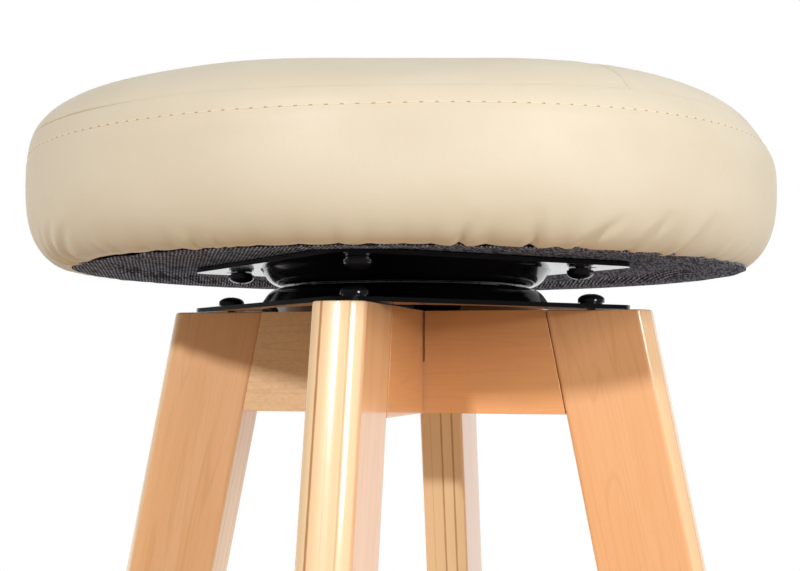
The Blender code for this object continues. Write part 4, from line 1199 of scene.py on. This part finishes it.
foam_points = np.concatenate([middle_top, skin, np.array(under), middle_under])
foam_block = grid_mesh("seat_foam_block", foam_points, True)
take(foam_block)
bpy.ops.object.mode_set(mode="EDIT")
close(foam_block)
foam, shader, place = new_finish("pale_seat_foam", {"Specular IOR Level": 0.1})
cells = place.node("ShaderNodeTexVoronoi", {}, {"Vector": place, "Scale": 1.6})
mix(fade(cells, 0.0, 0.7), srgb(206, 190, 140), srgb(240, 230, 190)).feed(shader, "Base Color")
(cells * 0.1 + 0.85).feed(shader, "Roughness")
bump(cells, 0.4, 0.0005).feed(shader, "Normal")
fit(foam_block, foam, "seat", "pale_foam", "seat_foam")


# Cover: cream leather-look sheet cut as four quarter panels and a side band. The panels are sewn together
# over the crown and to the band at the shoulder, and each edge turns down into its seam.
LEATHER = 0.0011
LEATHER_SHARP = math.radians(60.0)
# Steps in which an edge turns down, as distances from the seam and depths, at the band and between panels
LIP_STEPS = ((0.00002, 0.0020), (0.00015, 0.00045), (0.00040, 0.00010), (0.0010, 0.00001))
PANEL_LIP_STEPS = ((0.00008, 0.0020), (0.00030, 0.00070), (0.00075, 0.00022), (0.0016, 0.00003))
LIP_SHARE = 0.3  # near the middle, where columns are narrow, each step takes at most this share of one
PANEL_TIP = 0.02  # radius within which the lips between panels die out
PANEL_COLUMNS_APART = 2
PANEL_POINT = 0.05  # the panels' points lie this share of their first row's radius from the middle
SEAM_TIGHT = 0.01  # share of the lip's depth where the seam of panels and band is drawn tight
SEAM_OPEN_AT = math.radians(226.0)
SEAM_OPEN_WIDTH = math.radians(17.0)


def seam_lip(columns):
    """Share of the lip's depth along the seam of panels and band, which gapes a little in one place."""
    turn = (columns % COVER_COLUMNS) * 2 * math.pi / COVER_COLUMNS
    gape = bell(turn - SEAM_OPEN_AT, SEAM_OPEN_WIDTH, 4)
    return SEAM_TIGHT + (1 - SEAM_TIGHT) * gape


leather, shader, place = new_finish("cream_leather", {"Specular IOR Level": 0.42})
pebbles = place.node(
    "ShaderNodeTexVoronoi", {"feature": "SMOOTH_F1"}, {"Vector": place, "Scale": 1.15, "Smoothness": 0.6}
)
fine = cloudy(place, (2.6, 2.6, 2.6), 3.0)
clouds = cloudy(place, (0.018, 0.018, 0.03), 3.0)
cream = mix(fade(clouds, 0.3, 0.7), srgb(214, 204, 183), srgb(210, 199, 177))
# painted shade: the hollows between the pebbles are a little darker
mix(fade(pebbles, 0.35, 0.75) * 0.06, cream, srgb(192, 177, 149)).feed(shader, "Base Color")
(clouds * 0.1 + pebbles * 0.10 + 0.40).feed(shader, "Roughness")
bump(pebbles * -0.7 + fine * 0.3, 0.08, 0.0003).feed(shader, "Normal")


def thicken(piece):
    """Gives a sheet of leather its thickness inwards, with the cut edge kept sharp."""
    work(piece, "SOLIDIFY", thickness=LEATHER, offset=-1.0)
    bpy.ops.object.shade_smooth_by_angle(angle=LEATHER_SHARP)


quarter = COVER_COLUMNS // 4
lip_rows = np.array([seam_row - distance / row_length for distance, _ in reversed(LIP_STEPS)])
lip_sinks = np.array([sink for _, sink in reversed(LIP_STEPS)])
panel_rows = np.concatenate([np.arange(0.0, seam_row - 1.0), lip_rows])
panel_row_sinks = np.concatenate([np.zeros(len(panel_rows) - len(lip_rows)), lip_sinks])
inner_columns = np.arange(-quarter / 2 + 2, quarter / 2 - 1, PANEL_COLUMNS_APART)
radii = np.interp(panel_rows, np.arange(len(profile)), profile[:, 0])[:, None]
reach = np.array([distance for distance, _ in PANEL_LIP_STEPS])
sinks = np.array([sink for _, sink in PANEL_LIP_STEPS])
column_turn = 2 * math.pi / COVER_COLUMNS
widest_steps = LIP_SHARE * np.arange(1, len(PANEL_LIP_STEPS) + 1)[None, :] * column_turn
left = -quarter / 2 + np.minimum(reach[None, :] / radii, widest_steps) / column_turn
columns = np.concatenate(
    [left, np.repeat(inner_columns[None, :], len(panel_rows), axis=0), -left[:, ::-1]], axis=1
)
rows = np.repeat(panel_rows[:, None], columns.shape[1], axis=1)
side_sinks = np.concatenate([sinks, np.zeros(len(inner_columns)), sinks[::-1]])
side_sinks = side_sinks[None, :] * np.minimum(radii / PANEL_TIP, 1.0)
crown_middle = grid[0].mean(axis=0)
for side in LEG_SIDES:
    centre_column = LEG_SIDES[side] / 360.0 * COVER_COLUMNS
    edge_sinks = panel_row_sinks[:, None] * seam_lip(columns + centre_column)
    points = on_cover(rows, columns + centre_column, np.maximum(edge_sinks, side_sinks))
    tip = crown_middle + PANEL_POINT * (points[:1] - crown_middle)
    panel = grid_mesh(f"leather_panel_{side}", np.concatenate([tip, points]), False)
    thicken(panel)
    fit(panel, leather, "seat", "cream_leather", f"seat_panel_{side}")

band_rows = np.concatenate(
    [
        [seam_row + distance / row_length for distance, _ in LIP_STEPS],
        np.arange(seam_row + 1.0, len(profile)),
    ]
)
band_sinks = np.concatenate([[sink for _, sink in LIP_STEPS], np.zeros(len(band_rows) - len(LIP_STEPS))])
rows, columns = np.meshgrid(band_rows, np.arange(COVER_COLUMNS, dtype=float), indexing="ij")
band_points = on_cover(rows, columns, band_sinks[:, None] * seam_lip(columns))
band = grid_mesh("leather_side_band", band_points, True)
thicken(band)
fit(band, leather, "seat", "cream_leather", "seat_side_band")


# Topstitching: one row of cream thread round the band, just under the seam, in stitches of six
# millimetres. Each stitch goes down at both ends into a needle hole, and the hole's shade is painted
# brown on the stitch's ends as a dot.
STITCH_PITCH = 0.0062
STITCH_LENGTH = 0.0060
STITCH_RADIUS = 0.00030
STITCH_SINK = 0.00005
STITCH_AHEAD = 0.2  # columns to the place that a stitch points at
NEEDLE_HOLE_SHADE = 0.00077  # length of a stitch's end that is painted brown as the needle hole's shade
stitch_count = round(2 * math.pi * SEAT_RADIUS / STITCH_PITCH)
stitch = begin(
    "stitch_pattern", bpy.ops.mesh.primitive_uv_sphere_add, segments=8, ring_count=6, radius=STITCH_RADIUS
)
pick("VERT", lambda middle, part: middle.z > STITCH_RADIUS / 10)
bpy.ops.transform.translate(value=(0.0, 0.0, STITCH_LENGTH / 2 - STITCH_RADIUS))
pick("VERT", lambda middle, part: middle.z < -STITCH_RADIUS / 10)
bpy.ops.transform.translate(value=(0.0, 0.0, STITCH_RADIUS - STITCH_LENGTH / 2))
close(stitch)
half_stitch = STITCH_LENGTH / 2 - STITCH_RADIUS
needle = stitch.data.attributes.new("needle_hole_shade", "FLOAT", "POINT")
needle.data.foreach_set("value", [min(abs(v.co.z) / half_stitch, 1.0) for v in stitch.data.vertices])
stitches = []
for number in range(stitch_count):
    column = np.array([number * COVER_COLUMNS / stitch_count])
    row = np.array([stitch_row])
    spot = Vector(on_cover(row, column, np.array([STITCH_SINK]))[0])
    after = Vector(on_cover(row, column + STITCH_AHEAD, np.array([STITCH_SINK]))[0])
    along = (after - spot).normalized()
    laid = Matrix.Translation(spot) @ along.to_track_quat("Z", "Y").to_matrix().to_4x4()
    stitches.append(copied(stitch, f"stitch_{number}", laid))
bpy.data.objects.remove(stitch)
take(stitches[0])
for one in stitches:
    one.select_set(True)
bpy.ops.object.join()
thread_row = bpy.context.object
thread_row.name = "topstitch_thread"
thread, shader, place = new_finish("beige_thread", {"Specular IOR Level": 0.2})
strands = cloudy(place, (6.0, 6.0, 6.0), 2.0)
hole_shade = strands.node("ShaderNodeAttribute", {"attribute_name": "needle_hole_shade"}, {}, 2)
cream = mix(strands, srgb(222, 207, 178), srgb(236, 224, 198))
# painted shade: both ends of each stitch turn brown where they go down into the needle holes
hole_shade = fade(hole_shade, 1.0 - NEEDLE_HOLE_SHADE / half_stitch, 1.0)
mix(hole_shade, cream, srgb(158, 132, 98)).feed(shader, "Base Color")
(strands * 0.2 + 0.6).feed(shader, "Roughness")
bump(strands, 0.3, 0.0001).feed(shader, "Normal")
fit(thread_row, thread, "seat", "cream_leather")


# Dust cover: a round of dark twill over the underside of the board and the leather hem, turned in at its
# edge and stapled. It hangs a little slack, so that its edge waves.
CLOTH_SHEET = 0.0006
CLOTH_ROWS = 60
CLOTH_COLUMNS = 480
CLOTH_EDGE = 0.1710
CLOTH_OFF_CENTRE = 0.0016  # away from the padding's fuller side
CLOTH_SHORT = 0.003  # the cloth was cut short in one place
CLOTH_TUCK = 0.0035  # how far the front edge is tucked in behind the leather
CLOTH_SHORT_AT = math.radians(230.0)
CLOTH_SHORT_WIDTH = math.radians(8.0)
CLOTH_RAGGED = 0.0006  # how much the cut edge wanders
CLOTH_CROWDING = 0.8  # rows lie closer together towards the edge
CLOTH_RISE = 0.0026  # the cloth's flat middle over the node's lowest level
OVER_HEM = (0.144, 0.152)  # radii over which the cloth climbs on to the leather's hem
RIM_GAP = 0.0003
EDGE_FROM = 0.157  # radius from which the edge droops, and how far it takes
EDGE_OVER = 0.010
EDGE_DROOP = 0.0003
SAG = 0.0010
SAG_FROM = 0.118  # radius at which the sag before the hem begins, and its width
SAG_OVER = 0.03
FRONT_TUCKED = (0.2, 0.7)  # how far a place of the edge faces the front, where the tuck begins and is full
FRONT_DROOPING = (-0.1, 0.4)
RIB = 1.7  # millimetres
WEFT = 2.6
RIB_LEAN = math.radians(113.8)
cloth_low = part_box("dust_cover")[0]
waves = np.random.default_rng(7)
cloth_azimuths = np.arange(CLOTH_COLUMNS) * 2 * math.pi / CLOTH_COLUMNS


def ripple(count_from, count_to, terms):
    """A smooth random wave round the seat, about one high."""
    total = np.zeros(CLOTH_COLUMNS)
    for _ in range(terms):
        count = waves.integers(count_from, count_to)
        total += np.sin(count * cloth_azimuths + waves.uniform(0.0, 2 * math.pi))
    return total / math.sqrt(terms)


edge_wave = ripple(14, 50, 7)
short = bell(cloth_azimuths - CLOTH_SHORT_AT, CLOTH_SHORT_WIDTH, 4)
forwards = np.cos(cloth_azimuths - FRONT_TOWARDS)
edge_reach = CLOTH_EDGE + CLOTH_RAGGED * ripple(9, 40, 6) - CLOTH_SHORT * short
edge_reach = edge_reach - CLOTH_TUCK * smooth_step(forwards, *FRONT_TUCKED)
shares = np.linspace(0.0, 1.0, CLOTH_ROWS) ** CLOTH_CROWDING
reach = POLE_RADIUS + shares[:, None] * (edge_reach[None, :] - POLE_RADIUS)
over_hem = smooth_step(reach, *OVER_HEM)
at_edge = np.clip((reach - EDGE_FROM) / EDGE_OVER, 0.0, 1.0) ** 2
flat_level = cloth_low.z + CLOTH_RISE
rim_level = ROLL_LEVEL - RIM_GAP
level = flat_level + (rim_level - flat_level) * over_hem
drooping = smooth_step(forwards, *FRONT_DROOPING)
level = level - at_edge * drooping * EDGE_DROOP * (1 + edge_wave[None, :])
sag = SAG * np.sin(math.pi * np.clip((reach - SAG_FROM) / SAG_OVER, 0.0, 1.0))
points = around(reach, cloth_azimuths, level - sag)
points[0] = points[0].mean(axis=0)
points[:, :, 0] -= CLOTH_OFF_CENTRE * math.cos(FULLER_TOWARDS) * over_hem
points[:, :, 1] -= CLOTH_OFF_CENTRE * math.sin(FULLER_TOWARDS) * over_hem
cloth_round = grid_mesh("dust_cover_cloth", points[::-1], True)
take(cloth_round)
bpy.ops.object.mode_set(mode="EDIT")
close(cloth_round)
if cloth_round.data.polygons[0].normal.z > 0:
    cloth_round.data.flip_normals()
work(cloth_round, "SOLIDIFY", thickness=CLOTH_SHEET, offset=-1.0)
twill, shader, place = new_finish("dark_twill", {"Specular IOR Level": 0.03})
x, y, z = axes(place)
ribs = (x * math.sin(RIB_LEAN) - y * math.cos(RIB_LEAN)) / RIB
weft = (x * math.cos(RIB_LEAN) + y * math.sin(RIB_LEAN)) / WEFT + ribs * 0.5
rib_wave = abs(ribs - ribs.maths("FLOOR", ribs) - 0.5) * 2.0
weft_wave = abs(weft - weft.maths("FLOOR", weft) - 0.5) * 2.0
melange = cloudy(place, (1.5, 1.5, 1.5), 3.0)
slubs = cloudy(place, (1.1, 0.1, 0.5), 2.0)
light = (fade(rib_wave, 0.35, 0.75) * 0.75 + 0.25) * (fade(weft_wave, 0.2, 0.8) * 0.4 + 0.6)
light = light * (fade(melange, 0.35, 0.65) * 0.5 + 0.5) * (fade(slubs, 0.42, 0.58) * 0.75 + 0.25)
mix(light, srgb(9, 10, 15), srgb(192, 206, 245)).feed(shader, "Base Color")
(0.9 - light * 0.15).feed(shader, "Roughness")
bump(rib_wave * 0.7 + weft_wave * 0.3, 0.5, 0.0004).feed(shader, "Normal")
fit(cloth_round, twill, "seat", "dark_cloth", "dust_cover")


# Studio: a pale floor that goes over into a white surround, two lamps in front, weak panels at the sides
# and a camera just below the seat. What gloss mirrors is white behind the stool and dark before it.
FLOOR_SIZE = 40.0
WHITE_FROM = 0.7  # metres from the stool at which the floor begins to turn white to the camera
DARK_SIDE = 0.06  # light from the unlit room behind the camera
FLOOR_TURNS = (0.20, 1.00)  # metres behind the stool between which the floor turns from dark to white
FLOOR_BOUNCE = (0.58, 0.45, 0.32, 1.0)  # warm light from the floor in front
SURROUND_TURNS = (-0.25, 0.55)  # how far backwards a ray points where the surround turns from dark to white
MIRRORED_TURNS = (0.30, 0.75)  # and where it does so in what gloss mirrors
floor = begin("studio_floor", bpy.ops.mesh.primitive_plane_add, size=FLOOR_SIZE)
bpy.ops.mesh.subdivide(number_cuts=4)
close(floor)
floor_finish, shader, place = new_finish("studio_floor", {"Roughness": 0.9, "Specular IOR Level": 0.1})
shader.inputs["Base Color"].default_value = srgb(243, 242, 240)
x, y, z = axes(place)
away = (x * x + y * y).maths("SQRT", x * x + y * y) / 1000.0
paths = floor_finish.node_tree.nodes.new("ShaderNodeLightPath")
seen, mirrored, passing = [
    Signal(paths.outputs[name]) for name in ("Is Camera Ray", "Is Glossy Ray", "Is Transmission Ray")
]
white = Signal(floor_finish.node_tree.nodes.new("ShaderNodeEmission").outputs[0])
dark = white.node("ShaderNodeEmission", {}, {"Strength": DARK_SIDE})
far = seen * fade(away, WHITE_FROM, 2 * WHITE_FROM)
surface = far.node("ShaderNodeMixShader", {}, {0: far, 1: Signal(shader.outputs[0]), 2: white})
lit = fade(y / 1000.0, *FLOOR_TURNS)
unlit = (1.0 - lit) * mirrored
surface = unlit.node("ShaderNodeMixShader", {}, {0: unlit, 1: surface, 2: dark})
warm = white.node("ShaderNodeEmission", {}, {"Color": FLOOR_BOUNCE})
glow = (1.0 - lit) * (1.0 - seen - mirrored)
surface = glow.node("ShaderNodeMixShader", {}, {0: glow, 1: surface, 2: warm})
bounced = mirrored.maths("MAXIMUM", mirrored, passing) * lit
surface = bounced.node("ShaderNodeMixShader", {}, {0: bounced, 1: surface, 2: white})
floor_finish.node_tree.links.new(
    surface.socket, floor_finish.node_tree.nodes["Material Output"].inputs["Surface"]
)
floor.data.materials.append(floor_finish)

world = bpy.data.worlds.new("white_surround")
bpy.context.scene.world = world
world.use_nodes = True
tree = world.node_tree
paths = tree.nodes.new("ShaderNodeLightPath")
camera_ray = Signal(paths.outputs["Is Camera Ray"])
glossy_ray = Signal(paths.outputs["Is Glossy Ray"])
outwards = Signal(tree.nodes.new("ShaderNodeTexCoord").outputs["Generated"])
backwards = axes(outwards)[1]
soft = fade(backwards, *SURROUND_TURNS)
crisp = fade(backwards, *MIRRORED_TURNS)
surround = soft + glossy_ray * (crisp - soft)
surround = surround * (1.0 - DARK_SIDE) + DARK_SIDE
strength = camera_ray.maths("MAXIMUM", camera_ray, surround)
background = tree.nodes["Background"]
background.inputs["Color"].default_value = (1.0, 1.0, 1.0, 1.0)
tree.links.new(strength.socket, background.inputs["Strength"])


def soft_box(name, azimuth, elevation, distance, size, power, mirrored):
    """A light that looks at the swivel from an azimuth, where 0 is the front and 90 the right, and that
    gloss mirrors or not."""
    light = bpy.data.lights.new(name, "AREA")
    light.shape = "RECTANGLE"
    light.size = size[0]
    light.size_y = size[1]
    light.energy = power
    lamp = bpy.data.objects.new(name, light)
    turn, rise = math.radians(azimuth), math.radians(elevation)
    towards = Vector((math.sin(turn) * math.cos(rise), -math.cos(turn) * math.cos(rise), math.sin(rise)))
    lamp.location = Vector((0.0, 0.0, upper_high.z)) + towards * distance
    lamp.rotation_mode = "QUATERNION"
    lamp.rotation_quaternion = towards.to_track_quat("Z", "Y")
    lamp.visible_glossy = mirrored
    bpy.context.scene.collection.objects.link(lamp)


soft_box("key_lamp", -12.0, 20.0, 2.2, (0.11, 0.11), 25.0, True)
soft_box("second_lamp", 46.0, 15.5, 1.6, (0.38, 0.50), 12.0, True)
soft_box("right_panel", 80.0, 8.0, 1.8, (1.2, 1.2), 8.5, False)
soft_box("left_panel", -85.0, 10.0, 1.8, (1.4, 1.4), 10.0, False)

CAMERA_PLACE = Vector((0.1690, -0.6870, 0.5964))
CAMERA_TURN = math.radians(14.052)
CAMERA_PITCH = math.radians(3.429)
CAMERA_ROLL = math.radians(0.178)
CAMERA_LENS = 61.03
camera = bpy.data.cameras.new("photo_camera")
camera.sensor_width = 36.0
camera.lens = CAMERA_LENS
camera.clip_start = 0.01
camera.clip_end = 100.0
eye = bpy.data.objects.new("photo_camera", camera)
ahead = Matrix.Rotation(CAMERA_TURN, 4, "Z") @ Matrix.Rotation(math.pi / 2 + CAMERA_PITCH, 4, "X")
eye.matrix_world = Matrix.Translation(CAMERA_PLACE) @ ahead @ Matrix.Rotation(CAMERA_ROLL, 4, "Z")
bpy.context.scene.collection.objects.link(eye)
bpy.context.scene.camera = eye
bpy.context.scene.view_settings.view_transform = "Standard"
